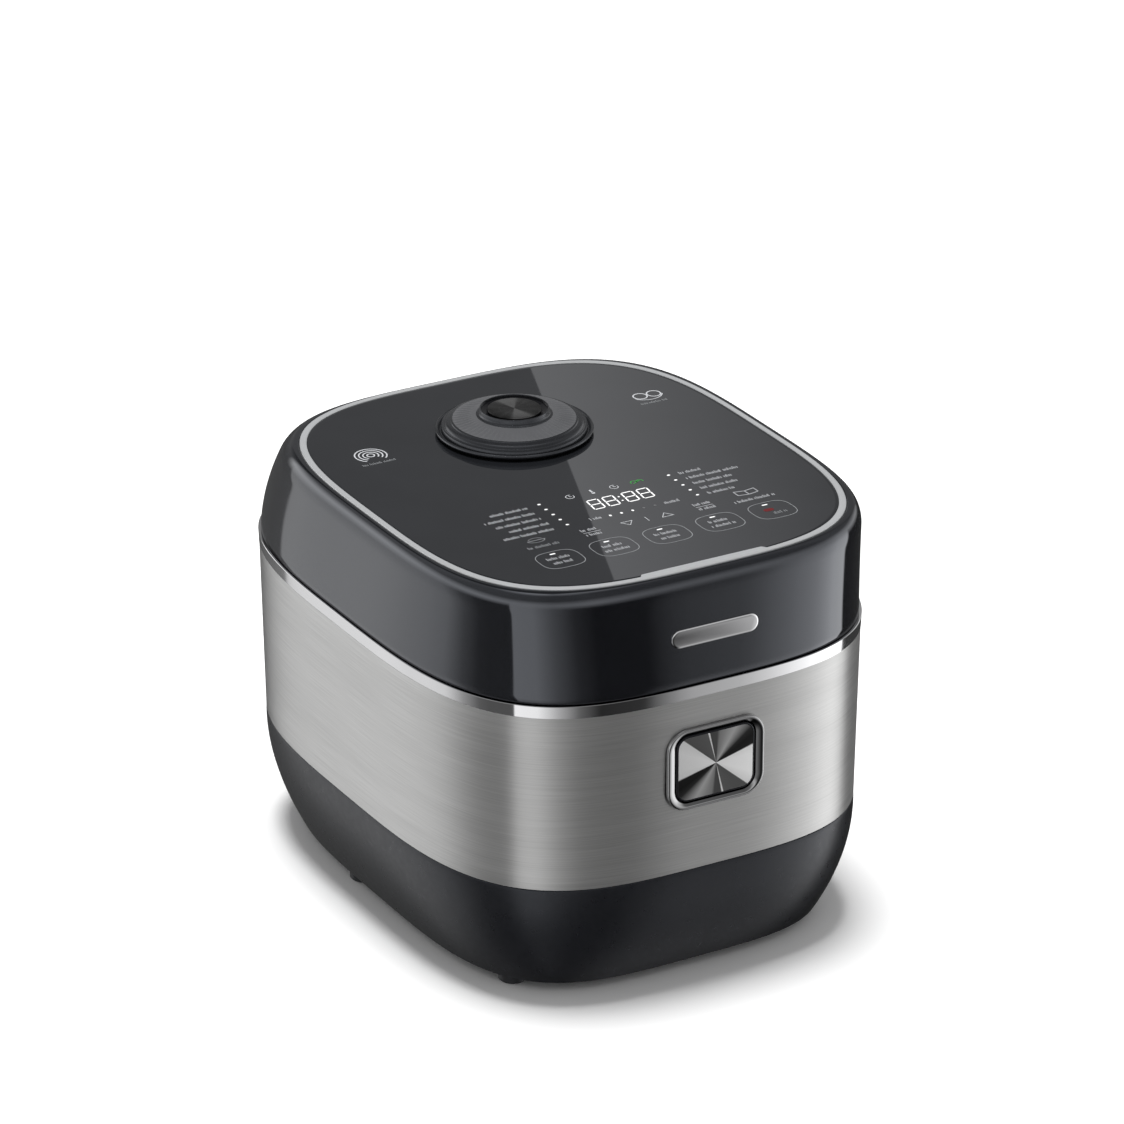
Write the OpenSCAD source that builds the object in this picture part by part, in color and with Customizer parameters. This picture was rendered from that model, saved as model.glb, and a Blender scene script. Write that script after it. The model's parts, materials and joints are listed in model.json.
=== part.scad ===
// Induction rice cooker: a square-shouldered body on a tapered plastic base, a steel-clad wall,
// a hinged lid with a touch panel, a lift-out steam cap and a push button that frees the latch.
// Origin: centre of the footprint, on the surface that the feet stand on. Front is -Y, up is +Z.

/* [Outline] */
// Width of the body at the seam under the lid
body_w = 284; // [276:1:292]
// Depth of the body at the seam under the lid
body_d = 363.8; // [356:0.2:370]
// Squareness of the plan outline (2 is an ellipse, 10 is nearly a box)
squareness = 3.45; // [3.2:0.05:3.8]

/* [Heights] */
// Height of the rubber feet
foot_h = 6; // [5:0.5:7]
// Height of the joint between plastic base and steel wall
skirt_z = 75.4; // [72:0.2:80]
// Height of the lower edge of the chrome band
band_z = 182.9; // [181:0.1:183.5]
// Height of the seam between body and lid
seam_z = 190.4; // [190.2:0.1:190.6]
// Height of the lid's top face
top_z = 257; // [256.8:0.1:257.2]

/* [Lid] */
// Height of the lid hinge axis
hinge_z = 203; // [202.5:0.1:203.5]
// Distance of the lid hinge axis behind the centre
hinge_y = 166; // [165.5:0.1:166.5]
// Radius of the hinge barrel
barrel_r = 12.7; // [12.5:0.1:12.7]
// Width of the silver ring round the top panel
ring_w = 3.8; // [3:0.1:4.5]
// Centre of the steam cap behind the centre of the body
cap_y = 48; // [46:1:50]

/* [Pot] */
// Outer radius of the inner pot's wall
pot_r = 111; // [108:0.5:111]
// Wall thickness of the inner pot
pot_wall = 2; // [1.5:0.1:2.2]
// Centre of the pot in front of the centre of the body (negative is forward)
pot_y = -20; // [-21:0.5:-19]
// Height of the pot's underside
pot_z = 48; // [47.5:0.1:48.5]

/* [Button] */
// Height of the open button's centre
button_z = 140; // [138:1:142]
// Width of the open button
button_w = 51; // [49:1:52]
// Height of the open button
button_h = 41; // [39:1:42]
// Travel of the open button
button_travel = 3; // [2:0.5:3]

/* [Hidden] */
$fn = 64;

SEGMENTS = 80;            // points round a body outline
half_w = body_w / 2;
half_d = body_d / 2;
gap = 0.3;                // between faces that move past each other

// ---- Plan outlines -------------------------------------------------------------------
// A section is [half width, half depth, squareness, centre y, z].
function signed_pow(v, p) = sign(v) * pow(abs(v), p);
function outline(s) = [for (i = [0:SEGMENTS - 1]) let (t = 360 * i / SEGMENTS)
    [s[0] * signed_pow(cos(t), 2 / s[2]), s[3] + s[1] * signed_pow(sin(t), 2 / s[2])]];
function section_points(s) = [for (p = outline(s)) [p[0], p[1], s[4]]];
function inset(s, d) = [s[0] - d, s[1] - d, s[2], s[3], s[4]];
function at_z(s, z) = [s[0], s[1], s[2], s[3], z];
function reversed(list) = [for (i = [len(list) - 1:-1:0]) list[i]];

// Closed ring of sections: the last one joins the first, so the solid is a tube.
module tube_loft(sections) {
    n = SEGMENTS;
    m = len(sections);
    points = [for (s = sections) each section_points(s)];
    faces = [for (k = [0:m - 1]) for (i = [0:n - 1]) let (
        a = k * n + i, b = k * n + (i + 1) % n,
        c = ((k + 1) % m) * n + (i + 1) % n, d = ((k + 1) % m) * n + i)
        each [[a, d, b], [b, d, c]]];
    polyhedron(points, faces);
}

// Plate between two heights, with the plan outline of a section.
module outline_plate(s, z0, z1) {
    translate([0, 0, z0]) linear_extrude(z1 - z0) polygon(outline(s));
}

// ---- Body outline --------------------------------------------------------------------
skirt_half_w = half_w - 2.2;
skirt_half_d = half_d - 2.1;
skirt_tuck_w = 18.9;      // how far the base draws in at the sides
skirt_tuck_d = 20.2;      // and at the front and back
skirt_curve = 1.9;
function skirt_section(t) = [
    skirt_half_w - skirt_tuck_w * pow(t, skirt_curve),
    skirt_half_d - skirt_tuck_d * pow(t, skirt_curve),
    squareness + 0.28 * t, 0, skirt_z - (skirt_z - foot_h) * t];
wall_low = [skirt_half_w, skirt_half_d, squareness, 0, skirt_z];
wall_high = [half_w - 0.25, half_d - 0.8, squareness, 0, band_z];
function wall_at(z) = let (f = (z - skirt_z) / (band_z - skirt_z)) [
    wall_low[0] + f * (wall_high[0] - wall_low[0]),
    wall_low[1] + f * (wall_high[1] - wall_low[1]), squareness, 0, z];

base_wall = 2.8;
steel_t = 0.8;
liner_t = 2;

// ---- Lid outline ---------------------------------------------------------------------
shoulder_h = 54;          // height above the seam where the lid starts to round over
rim_h = top_z - 0.6 - seam_z;
lid_wall = 2.5;
lid_first_h = 0.5;
function rounding(h) = h <= shoulder_h ? 0 :
    1 - sqrt(1 - pow((h - shoulder_h) / (rim_h - shoulder_h + 0.1), 2));
function lid_section(h) = let (
    side = 1.4 + 2.4 * h / shoulder_h + 5.7 * rounding(h),
    front = 1.4 + 2.6 * h / shoulder_h + 5.0 * rounding(h),
    back = 1.4 + 39.4 * pow(h / rim_h, 1.6) + 3.2 * rounding(h))
    [half_w - side, half_d - (front + back) / 2, squareness + 0.2 * h / rim_h,
     (front - back) / 2, seam_z + h];
ring_section = [half_w - 11.3, half_d - 27.7, 3.5, -16.95, top_z];
ledge_z = top_z - 5.5;
panel_top = top_z - 0.3;
panel_t = 3;

// ---- Small helpers -------------------------------------------------------------------
module rounded_rect(w, h, r) {
    square([w, h - 2 * r], center = true);
    square([w - 2 * r, h], center = true);
    for (sx = [-1, 1]) for (sy = [-1, 1])
        translate([sx * (w / 2 - r), sy * (h / 2 - r)]) circle(r);
}
// Extrudes a front-view outline (x, z) from y0 back to y1.
module front_plate(y0, y1) {
    translate([0, y1, 0]) rotate([90, 0, 0]) linear_extrude(y1 - y0) children();
}
// Extrudes a side-view outline (y, z) from x0 to x1.
module side_plate(x0, x1) {
    translate([x0, 0, 0]) rotate([90, 0, 90]) linear_extrude(x1 - x0) children();
}
module rod_x(x0, x1, r, y, z) {
    translate([x0, y, z]) rotate([0, 90, 0]) cylinder(r = r, h = x1 - x0);
}
module box(low, high) {
    translate(low) cube(high - low);
}
// Open coil spring about Z, swept as a five-sided wire.
module coil_spring(coil_r, wire_r, turns, height) {
    sides = 5;
    per_turn = 12;
    n = turns * per_turn;
    points = [for (i = [0:n]) let (t = 360 * i / per_turn) for (k = [0:sides - 1])
        let (w = 360 * k / sides, r = coil_r + wire_r * cos(w))
        [r * cos(t), r * sin(t), wire_r + (height - 2 * wire_r) * i / n + wire_r * sin(w)]];
    skin = [for (i = [0:n - 1]) for (k = [0:sides - 1]) let (
        a = i * sides + k, b = i * sides + (k + 1) % sides)
        each [[a, a + sides, b], [b, a + sides, b + sides]]];
    start = [[for (k = [0:sides - 1]) k]];
    end = [[for (k = [sides - 1:-1:0]) n * sides + k]];
    polyhedron(points, concat(skin, start, end));
}

// ---- Base ----------------------------------------------------------------------------
inlet_x = -72;
inlet_z = 42;
inlet_w = 34;
inlet_h = 25;
inlet_face_y = 173;
foot_r = 8.5;
foot_stem_r = 5;
foot_spots = [[96, -120], [111, 33], [90, 112]];
inlet_flange = 4;         // how much wider and higher the inlet's flange is than its body
floor_plate_z = foot_h + 1;
floor_plate_t = 2.5;
leg_reach = 64;
fan_x = 45;
fan_y = 112;

module base_shell() {
    steps = [0, 0.2, 0.4, 0.6, 0.8, 1];
    inner_steps = [1, 0.6, 0.3, 0];
    color([0.12, 0.12, 0.13]) difference() {
        tube_loft(reversed(concat(
            [for (t = steps) skirt_section(t)],
            [for (t = inner_steps) inset(skirt_section(t), base_wall)])));
        translate([inlet_x, 0, inlet_z]) front_plate(140, 190)
            rounded_rect(inlet_w + inlet_flange + 0.8, inlet_h + inlet_flange + 0.8, 3.4);
    }
}

module screw_spots() {
    for (sx = [-1, 1]) for (sy = [-1, 1])
        translate([sx * leg_reach, pot_y + sy * leg_reach, 0]) children();
}

module bottom_cover() {
    slot_w = 4;
    plate = inset(skirt_section(1), base_wall + 0.4);
    color([0.1, 0.1, 0.1]) difference() {
        outline_plate(plate, floor_plate_z, floor_plate_z + floor_plate_t);
        for (i = [-3:3]) box([fan_x + i * 2 * slot_w - slot_w / 2, fan_y - 26, foot_h],
                             [fan_x + i * 2 * slot_w + slot_w / 2, fan_y + 26, foot_h + 5]);
        for (i = [-2:2]) box([i * 2 * slot_w - slot_w / 2, -60, foot_h],
                             [i * 2 * slot_w + slot_w / 2, 20, foot_h + 5]);
        screw_spots() {
            cylinder(r = 1.8, h = 20);
            cylinder(r = 3.6, h = floor_plate_z + 1.6);
        }
    }
}

module rubber_feet() {
    color([0.05, 0.05, 0.05]) for (sx = [-1, 1]) for (spot = foot_spots)
        translate([sx * spot[0], spot[1], 0]) rotate_extrude()
            polygon([[0, 0], [foot_r - 1, 0], [foot_r, 1], [foot_r, foot_h - 0.5], [foot_r - 0.5, foot_h - 0.1],
                     [foot_stem_r, foot_h - 0.1], [foot_stem_r, floor_plate_z], [0, floor_plate_z]]);
}

module base_screws() {
    color("silver") screw_spots() {
        translate([0, 0, floor_plate_z]) cylinder(r = 3.3, h = 1.6);
        translate([0, 0, floor_plate_z]) cylinder(r = 1.4, h = 14);
    }
}

// ---- Wall and band -------------------------------------------------------------------
button_cut_w = 60;
button_cut_h = 47;

module button_cut() {
    translate([0, 0, button_z]) front_plate(-200, -160) rounded_rect(button_cut_w, button_cut_h, 11.5);
}

module body_liner() {
    liner_top = band_z - 0.5;
    liner_low = skirt_z - 6;
    clear = steel_t + 0.4;
    low_inset = base_wall + 0.4;
    tuck = 0.8;               // the base draws in below the joint
    color([0.2, 0.2, 0.2]) difference() {
        tube_loft([
            inset(at_z(wall_low, liner_low), low_inset + tuck),
            inset(at_z(wall_low, liner_low), low_inset + tuck + liner_t),
            inset(at_z(wall_low, skirt_z + 4), low_inset + liner_t),
            inset(wall_at(liner_top), clear + liner_t),
            inset(wall_at(liner_top), clear),
            inset(wall_at(skirt_z + 4), clear),
            inset(at_z(wall_low, skirt_z), low_inset)]);
        button_cut();
    }
}

module steel_skin() {
    color([0.72, 0.72, 0.71]) difference() {
        tube_loft([inset(wall_high, steel_t), wall_high, wall_low, inset(wall_low, steel_t)]);
        button_cut();
    }
}

band_t = 2.4;
band_low = [half_w - 0.1, half_d - 0.6, squareness, 0, band_z];
band_high = [half_w, half_d, squareness, 0, seam_z];

module chrome_band() {
    color([0.85, 0.85, 0.86])
        tube_loft([inset(band_high, band_t), band_high, band_low, inset(band_low, band_t)]);
}

module rear_cover() {
    cover_w = 96;
    cover_low = 84;
    cover_high = 180;
    slot_low = 140;
    slot_pitch = 5;
    back_y = half_d + 1.1;
    color([0.1, 0.1, 0.11]) difference() {
        translate([0, 0, (cover_low + cover_high) / 2]) front_plate(back_y - 5, back_y)
            rounded_rect(cover_w, cover_high - cover_low, 8);
        outline_plate(inset(wall_at(cover_high), -0.1), cover_low - 2, cover_high + 2);
        for (i = [0:5]) box([-32, back_y - 1, slot_low + slot_pitch * i],
                            [32, back_y + 1, slot_low + 2 + slot_pitch * i]);
    }
}

// ---- Upper deck and hinge ------------------------------------------------------------
deck_top = seam_z - 0.2;
deck_hole_r = 120;
flange_z = 185.2;         // underside of the pot's flange
pin_r = 2.5;
barrel_half = 44;         // the spring barrel fills the middle of the hinge
ear_in = 64;              // the fixed ears stand outside the lid's knuckles
ear_out = 80;
knuckle_in = 46;
knuckle_out = 62;
hinge_cut_half = 90;
foot_front = hinge_y - 11;
foot_back = hinge_y + 4;
slot_half = 12;
slot_front = -172;
slot_back = -147;

module hinge_lug(x0, x1) {
    rod_x(x0, x1, barrel_r, hinge_y, hinge_z);
    box([x0, foot_front, deck_top - 1], [x1, foot_back, hinge_z]);
}

module upper_deck() {
    deck = inset(band_high, band_t + 0.3);
    color([0.08, 0.08, 0.09]) difference() {
        union() {
            outline_plate(deck, deck_top - 2.6, deck_top);
            translate([0, pot_y, flange_z]) cylinder(r = deck_hole_r + 3, h = deck_top - flange_z);
            for (sx = [-1, 1]) hinge_lug(min(sx * ear_in, sx * ear_out), max(sx * ear_in, sx * ear_out));
        }
        translate([0, pot_y, flange_z - 5]) cylinder(r = deck_hole_r, h = 20);
        box([-slot_half, slot_front, 170], [slot_half, slot_back, 200]);
        rod_x(-120, 120, pin_r + 0.02, hinge_y, hinge_z);
    }
}

module hinge_barrel() {
    bore_half = barrel_half - 4;
    color([0.08, 0.08, 0.09]) difference() {
        union() {
            rod_x(-barrel_half, barrel_half, barrel_r, hinge_y, hinge_z);
            box([-barrel_half, foot_front, deck_top], [barrel_half, foot_back, hinge_z]);
        }
        rod_x(-bore_half, bore_half, barrel_r - 4, hinge_y, hinge_z);
        rod_x(-120, 120, pin_r + 0.02, hinge_y, hinge_z);
    }
}

module hinge_pin() {
    color("silver") rod_x(-ear_out - 1, ear_out + 1, pin_r, hinge_y, hinge_z);
}

module hinge_springs() {
    spring_l = 34;
    color([0.5, 0.5, 0.5]) for (x0 = [-38, 4])
        translate([x0, hinge_y, hinge_z]) rotate([0, 90, 0]) coil_spring(6, 1, 5, spring_l);
}

// ---- Pot and heating -----------------------------------------------------------------
corner_r = 34;            // outer corner radius of the pot
bowl_gap = 3;
bowl_wall = 3;
coil_r = 1.8;
arc_r = pot_r - corner_r;                       // centre of every corner arc
arc_z = pot_z + corner_r;
bowl_out = corner_r + bowl_gap + bowl_wall;
coil_line = bowl_out + coil_r + 0.5;
tray_in = coil_line + coil_r + 0.5;
tray_out = tray_in + 2.4;
sensor_hole_r = 21;
function corner(r, from, to, steps) = [for (i = [0:steps]) let (a = from + (to - from) * i / steps)
    [arc_r + r * cos(a), arc_z + r * sin(a)]];
module about_pot() {
    translate([0, pot_y, 0]) children();
}

module coil_bowl() {
    lip_r = 124;
    color([0.15, 0.15, 0.15]) about_pot() rotate_extrude() polygon(concat(
        [[sensor_hole_r, arc_z - bowl_out]], corner(bowl_out, -90, 0, 12),
        [[arc_r + bowl_out, flange_z - 2], [lip_r, flange_z - 2], [lip_r, flange_z],
         [arc_r + bowl_out - bowl_wall, flange_z]],
        corner(bowl_out - bowl_wall, 0, -90, 12), [[sensor_hole_r, arc_z - bowl_out + bowl_wall]]));
}

module inner_pot() {
    flange_r = 118;
    color([0.25, 0.25, 0.26]) about_pot() rotate_extrude() polygon(concat(
        [[0, pot_z]], corner(corner_r, -90, 0, 12),
        [[pot_r, flange_z], [flange_r, flange_z], [flange_r, flange_z + pot_wall],
         [pot_r - pot_wall, flange_z + pot_wall]],
        corner(corner_r - pot_wall, 0, -90, 12), [[0, pot_z + pot_wall]]));
}

module coil_bottom() {
    coil_pitch = 4;
    color([0.7, 0.4, 0.2]) about_pot() for (i = [0:12])
        translate([0, 0, arc_z - coil_line]) rotate_extrude()
            translate([26 + i * coil_pitch, 0]) circle(coil_r, $fn = 24);
}

module coil_side() {
    color([0.7, 0.4, 0.2]) about_pot() for (i = [0:7]) let (a = -72 + i * 8)
        translate([0, 0, arc_z + coil_line * sin(a)]) rotate_extrude()
            translate([arc_r + coil_line * cos(a), 0]) circle(coil_r, $fn = 24);
}

module coil_tray() {
    color([0.85, 0.85, 0.8]) difference() {
        union() {
            about_pot() rotate_extrude() polygon(concat(
                [[sensor_hole_r, arc_z - tray_out]], corner(tray_out, -90, -12, 10),
                corner(tray_in, -12, -90, 10), [[sensor_hole_r, arc_z - tray_in]]));
            screw_spots() translate([0, 0, floor_plate_z + floor_plate_t])
                cylinder(r = 4.5, h = 36.5 - floor_plate_z - floor_plate_t);
        }
        screw_spots() cylinder(r = 1.42, h = 24);
    }
}

module ferrite_bars() {
    bar_l = 50;
    bar_w = 9;
    bar_t = 5;
    color([0.3, 0.3, 0.32]) about_pot() for (i = [0:7]) rotate([0, 0, 22.5 + 45 * i])
        translate([24, -bar_w / 2, arc_z - tray_out - bar_t]) cube([bar_l, bar_w, bar_t]);
}

sensor_floor = 24;
sensor_top = pot_z - 0.2;

module sensor_housing() {
    color([0.85, 0.85, 0.8]) about_pot() rotate_extrude() polygon([
        [6, sensor_floor], [19.5, sensor_floor], [19.5, 42], [17.5, 42],
        [17.5, sensor_floor + 2], [6, sensor_floor + 2]]);
}

module sensor_cap() {
    color([0.8, 0.8, 0.8]) about_pot() rotate_extrude() polygon([
        [0, 29], [5, 29], [5, sensor_top - 1.5], [14.5, sensor_top - 1.5], [14.5, 40],
        [16, 40], [16, sensor_top - 1], [15, sensor_top], [0, sensor_top]]);
}

module sensor_spring() {
    color("gray") translate([0, pot_y, sensor_floor + 2])
        coil_spring(9, 0.7, 5, sensor_top - 1.5 - sensor_floor - 2);
}

// ---- Electronics ---------------------------------------------------------------------
board_y = 128;
board_t = 1.6;
board_back = board_y + board_t;

module power_board() {
    color([0.1, 0.35, 0.15]) difference() {
        box([-80, board_y, 34], [80, board_back, 134]);
        for (x = [-75, 75]) for (z = [39, 129])
            translate([x, board_back + 1, z]) rotate([90, 0, 0]) cylinder(r = 1.6, h = 4);
    }
}

module heat_sink() {
    fin_t = 1.5;
    color([0.7, 0.7, 0.72]) {
        box([0, board_back, 62], [60, board_back + 4, 118]);
        for (i = [0:7]) box([i * 8 + 0.5, board_back + 4, 62], [i * 8 + 0.5 + fin_t, 162, 118]);
    }
}

module board_components() {
    color([0.15, 0.15, 0.5]) {
        for (i = [0:2]) translate([-20 - i * 20, board_back, 104]) rotate([-90, 0, 0])
            cylinder(r = 8, h = 24);
        box([-70, board_back, 68], [-42, board_back + 22, 90]);
        box([-34, board_back, 70], [-16, board_back + 14, 88]);
        translate([-24, board_back, 50]) rotate([-90, 0, 0]) difference() {
            cylinder(r = 11, h = 10);
            translate([0, 0, 3]) cylinder(r = 5, h = 10);
        }
        for (x = [10, 40]) box([x, board_back, 46], [x + 12, board_back + 8, 56]);
    }
}

recess_w = 26;
recess_h = 17;
recess_depth = 17;

module mains_inlet() {
    color([0.1, 0.1, 0.1]) difference() {
        union() {
            box([inlet_x - inlet_w / 2 + 0.3, 152, inlet_z - inlet_h / 2 + 0.3],
                [inlet_x + inlet_w / 2 - 0.3, inlet_face_y, inlet_z + inlet_h / 2 - 0.3]);
            translate([inlet_x, 0, inlet_z]) front_plate(inlet_face_y - 12, inlet_face_y + 2)
                rounded_rect(inlet_w + inlet_flange, inlet_h + inlet_flange, 3);
        }
        box([inlet_x - recess_w / 2, inlet_face_y + 2 - recess_depth, inlet_z - recess_h / 2],
            [inlet_x + recess_w / 2, inlet_face_y + 10, inlet_z + recess_h / 2]);
    }
}

pin_root_y = inlet_face_y + 2 - recess_depth;

module inlet_pins() {
    pin_l = 11;
    color("silver") for (p = [[-7, -2.5], [0, 2.5], [7, -2.5]])
        box([inlet_x + p[0] - 1, pin_root_y, inlet_z + p[1] - 2],
            [inlet_x + p[0] + 1, pin_root_y + pin_l, inlet_z + p[1] + 2]);
}

module mains_wires() {
    color([0.7, 0.1, 0.1]) for (x = [-77, -70, -63])
        translate([x, board_back, inlet_z]) rotate([-90, 0, 0]) cylinder(r = 1.3, h = 152 - board_back);
}

fan_half = 30;
fan_low = 11;
fan_high = 26;
fan_bore = 28;

module fan_frame() {
    color([0.12, 0.12, 0.12]) difference() {
        box([fan_x - fan_half, fan_y - fan_half, fan_low], [fan_x + fan_half, fan_y + fan_half, fan_high]);
        translate([fan_x, fan_y, fan_low - 1]) cylinder(r = fan_bore, h = 20);
        for (sx = [-1, 1]) for (sy = [-1, 1])
            translate([fan_x + sx * 26, fan_y + sy * 26, fan_low - 1]) cylinder(r = 1.8, h = 20);
    }
    color([0.12, 0.12, 0.12]) {
        translate([fan_x, fan_y, fan_low]) cylinder(r = 12, h = 2);
        for (a = [45, 135, 225, 315]) translate([fan_x, fan_y, fan_low]) rotate([0, 0, a])
            translate([11, -1.5, 0]) cube([fan_bore - 10.5, 3, 2]);
    }
}

module fan_rotor() {
    blade_tilt = 35;
    rotor_low = fan_low + 2.5;
    color([0.2, 0.2, 0.2]) translate([fan_x, fan_y, rotor_low]) {
        cylinder(r = 11, h = fan_high - rotor_low - 0.5);
        for (i = [0:6]) rotate([0, 0, i * 360 / 7]) intersection() {
            translate([10, 0, 6]) rotate([blade_tilt, 0, 0]) translate([0, -9, -0.6]) cube([16.5, 18, 1.2]);
            cylinder(r = 26.5, h = 12);
        }
    }
}

// ---- Open button and latch -----------------------------------------------------------
bezel_front = -half_d - 1.1;
bezel_open_w = button_w + 2;
bezel_open_h = button_h + 2;
sleeve_w = button_cut_w - 1;
sleeve_h = button_cut_h - 1;
guide_front = -170;
guide_t = 2;
plunger_w = 10;
plunger_h = 6;
press_gap = 0.5;          // between the button's plunger and the latch at rest
lever_pad_y = -165;
pivot_y = -158;
pivot_z = button_z + 20;
latch_pin_r = 1.5;

module button_bezel() {
    bezel_w = 63;
    bezel_h = 50;
    color([0.85, 0.85, 0.86]) translate([0, 0, button_z]) difference() {
        union() {
            front_plate(bezel_front, bezel_front + 1.9) rounded_rect(bezel_w, bezel_h, 13);
            front_plate(bezel_front, guide_front) rounded_rect(sleeve_w, sleeve_h, 11);
        }
        front_plate(bezel_front - 1, guide_front + 1) rounded_rect(bezel_open_w, bezel_open_h, 9);
    }
}

module button_guide() {
    color([0.1, 0.1, 0.1]) translate([0, 0, button_z]) difference() {
        front_plate(guide_front, guide_front + guide_t) rounded_rect(sleeve_w, sleeve_h, 11);
        front_plate(guide_front - 1, guide_front + guide_t + 1)
            square([plunger_w + 1, plunger_h + 1], center = true);
    }
}

module open_button() {
    back_y = guide_front - button_travel - 0.4;
    color([0.6, 0.6, 0.62]) translate([0, 0, button_z]) {
        front_plate(bezel_front + 0.6, back_y) rounded_rect(button_w, button_h, 8);
        front_plate(back_y - 0.1, lever_pad_y - press_gap) square([plunger_w, plunger_h], center = true);
    }
}

module latch_bracket() {
    cheek_back = -151;
    color([0.1, 0.1, 0.1]) difference() {
        union() for (x = [-15, 12]) side_plate(x, x + 3) polygon([
            [guide_front + guide_t, button_z - 14], [guide_front + guide_t, pivot_z + 12],
            [cheek_back, pivot_z + 12], [cheek_back, pivot_z - 8], [cheek_back - 6, button_z - 14]]);
        rod_x(-20, 20, latch_pin_r + 0.02, pivot_y, pivot_z);
    }
}

module latch_pin() {
    color("silver") rod_x(-16, 16, latch_pin_r, pivot_y, pivot_z);
}

module latch_spring() {
    color("gray") translate([7.6, pivot_y, pivot_z]) rotate([0, 90, 0]) coil_spring(3.4, 0.5, 3, 3.8);
}

module latch_lever() {
    lever_half = 7;
    nose_low = flange_z - 1.5;
    nose_high = nose_low + 3.5;
    nose_tip = -158;
    color([0.75, 0.75, 0.75]) difference() {
        side_plate(-lever_half, lever_half) {
            polygon([[lever_pad_y, button_z - 6], [lever_pad_y + 3, button_z - 6],
                     [lever_pad_y + 3, pivot_z - 7], [pivot_y + 3, pivot_z - 3.5],
                     [pivot_y + 3, pivot_z + 3.5], [-162, pivot_z + 8], [-162, nose_low],
                     [nose_tip, nose_low], [nose_tip, nose_low + 1], [-162, nose_high],
                     [-166, nose_high], [-166, pivot_z + 6], [lever_pad_y, pivot_z - 2]]);
            translate([pivot_y, pivot_z]) circle(4.5);
        }
        rod_x(-20, 20, latch_pin_r + 0.05, pivot_y, pivot_z);
    }
}

// ---- Lid -----------------------------------------------------------------------------
barrel_clear = barrel_r + 1.5;
hood_r = barrel_clear + 2.5;      // cover over the hinge barrel
hood_half = hinge_cut_half - 0.5;
hood_from = 46;                   // angles of the cover's ends, from straight back over the top
hood_to = 212;
slot_top = 222;                   // the rear wall is cut away below this height

module hinge_clearance() {
    rod_x(-hinge_cut_half, hinge_cut_half, hood_r + 0.4, hinge_y, hinge_z);
    box([-hinge_cut_half, hinge_y - hood_r - 0.4, seam_z - 2], [hinge_cut_half, 200, hinge_z]);
    box([-hinge_cut_half, hinge_y + 10, seam_z - 2], [hinge_cut_half, 200, slot_top]);
}

function hinge_arc(r, from, to) = [for (i = [0:20]) let (a = from + (to - from) * i / 20)
    [hinge_y + r * cos(a), hinge_z + r * sin(a)]];

module hinge_hood() {
    closure = inset(lid_section(35), lid_wall + 0.4);
    intersection() {
        union() {
            side_plate(-hood_half, hood_half) polygon(concat(
                hinge_arc(hood_r, hood_from, hood_to), hinge_arc(barrel_clear, hood_to, hood_from)));
            for (x = [-hood_half, hood_half - 2]) side_plate(x, x + 2)
                polygon(concat([[hinge_y, hinge_z]], hinge_arc(hood_r, hood_from, hood_to)));
        }
        outline_plate(inset(lid_section(2), 0.3), seam_z, slot_top);
    }
    intersection() {
        difference() {
            outline_plate(closure, 217.3, slot_top + 3);
            outline_plate(inset(closure, 2), 217, slot_top + 4);
        }
        box([-hood_half, 140, 217], [hood_half, 200, slot_top + 4]);
    }
}

module lid_shell() {
    outer_steps = [lid_first_h, 14, 26, 36, 45, 54, 58, 61, 63.5, 65.2, rim_h];
    inner_steps = [57, 50, 36, 18, lid_first_h];
    pocket = inset(ring_section, -0.4);
    color([0.06, 0.06, 0.07]) difference() {
        tube_loft(reversed(concat(
            [for (h = outer_steps) lid_section(h)],
            [at_z(pocket, seam_z + rim_h), at_z(pocket, ledge_z), at_z(inset(ring_section, 10), ledge_z),
             at_z(inset(ring_section, 10), ledge_z - 2)],
            [for (h = inner_steps) inset(lid_section(h), lid_wall)])));
        hinge_clearance();
    }
}

tab_half = 39;
tab_depth = 2.9;

module front_tab(grow) {
    front_y = ring_section[3] - ring_section[1] + ring_w;
    polygon([[-tab_half - 3 - grow, front_y - 2], [tab_half + 3 + grow, front_y - 2],
             [tab_half + grow, front_y + tab_depth + grow], [-tab_half - grow, front_y + tab_depth + grow]]);
}

module trim_ring() {
    color([0.7, 0.71, 0.72]) {
        difference() {
            outline_plate(ring_section, ledge_z, top_z);
            outline_plate(inset(ring_section, ring_w), ledge_z - 1, top_z + 1);
        }
        translate([0, 0, panel_top - panel_t]) linear_extrude(top_z - panel_top + panel_t) front_tab(0);
    }
}

module top_panel() {
    panel = inset(ring_section, ring_w + 0.1);
    color([0.12, 0.12, 0.13]) difference() {
        outline_plate(panel, ledge_z, panel_top);
        outline_plate(inset(panel, 4), ledge_z - 1, panel_top - panel_t);
        translate([0, 0, ledge_z - 1]) linear_extrude(10) front_tab(0.1);
        translate([0, cap_y, ledge_z - 1]) cylinder(r = 37.8, h = 10);
    }
}

board_low = 246;

module control_board() {
    color([0.1, 0.35, 0.15]) difference() {
        box([-104, -144, board_low], [104, 4, board_low + board_t]);
        for (x = [-98, 98]) for (y = [-138, -2])
            translate([x, y, board_low - 1]) cylinder(r = 1.6, h = 5);
    }
}

module display_module() {
    color([0.05, 0.05, 0.05])
        box([-30, -104, board_low + board_t], [34, -46, panel_top - panel_t - 0.3]);
}

key_xs = [-67, -32, 2.5, 37, 71];

module light_guides() {
    color([0.9, 0.9, 0.85]) for (x = key_xs)
        box([x - 4, -119, board_low + board_t], [x + 4, -111, panel_top - panel_t - 0.3]);
}

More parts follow.
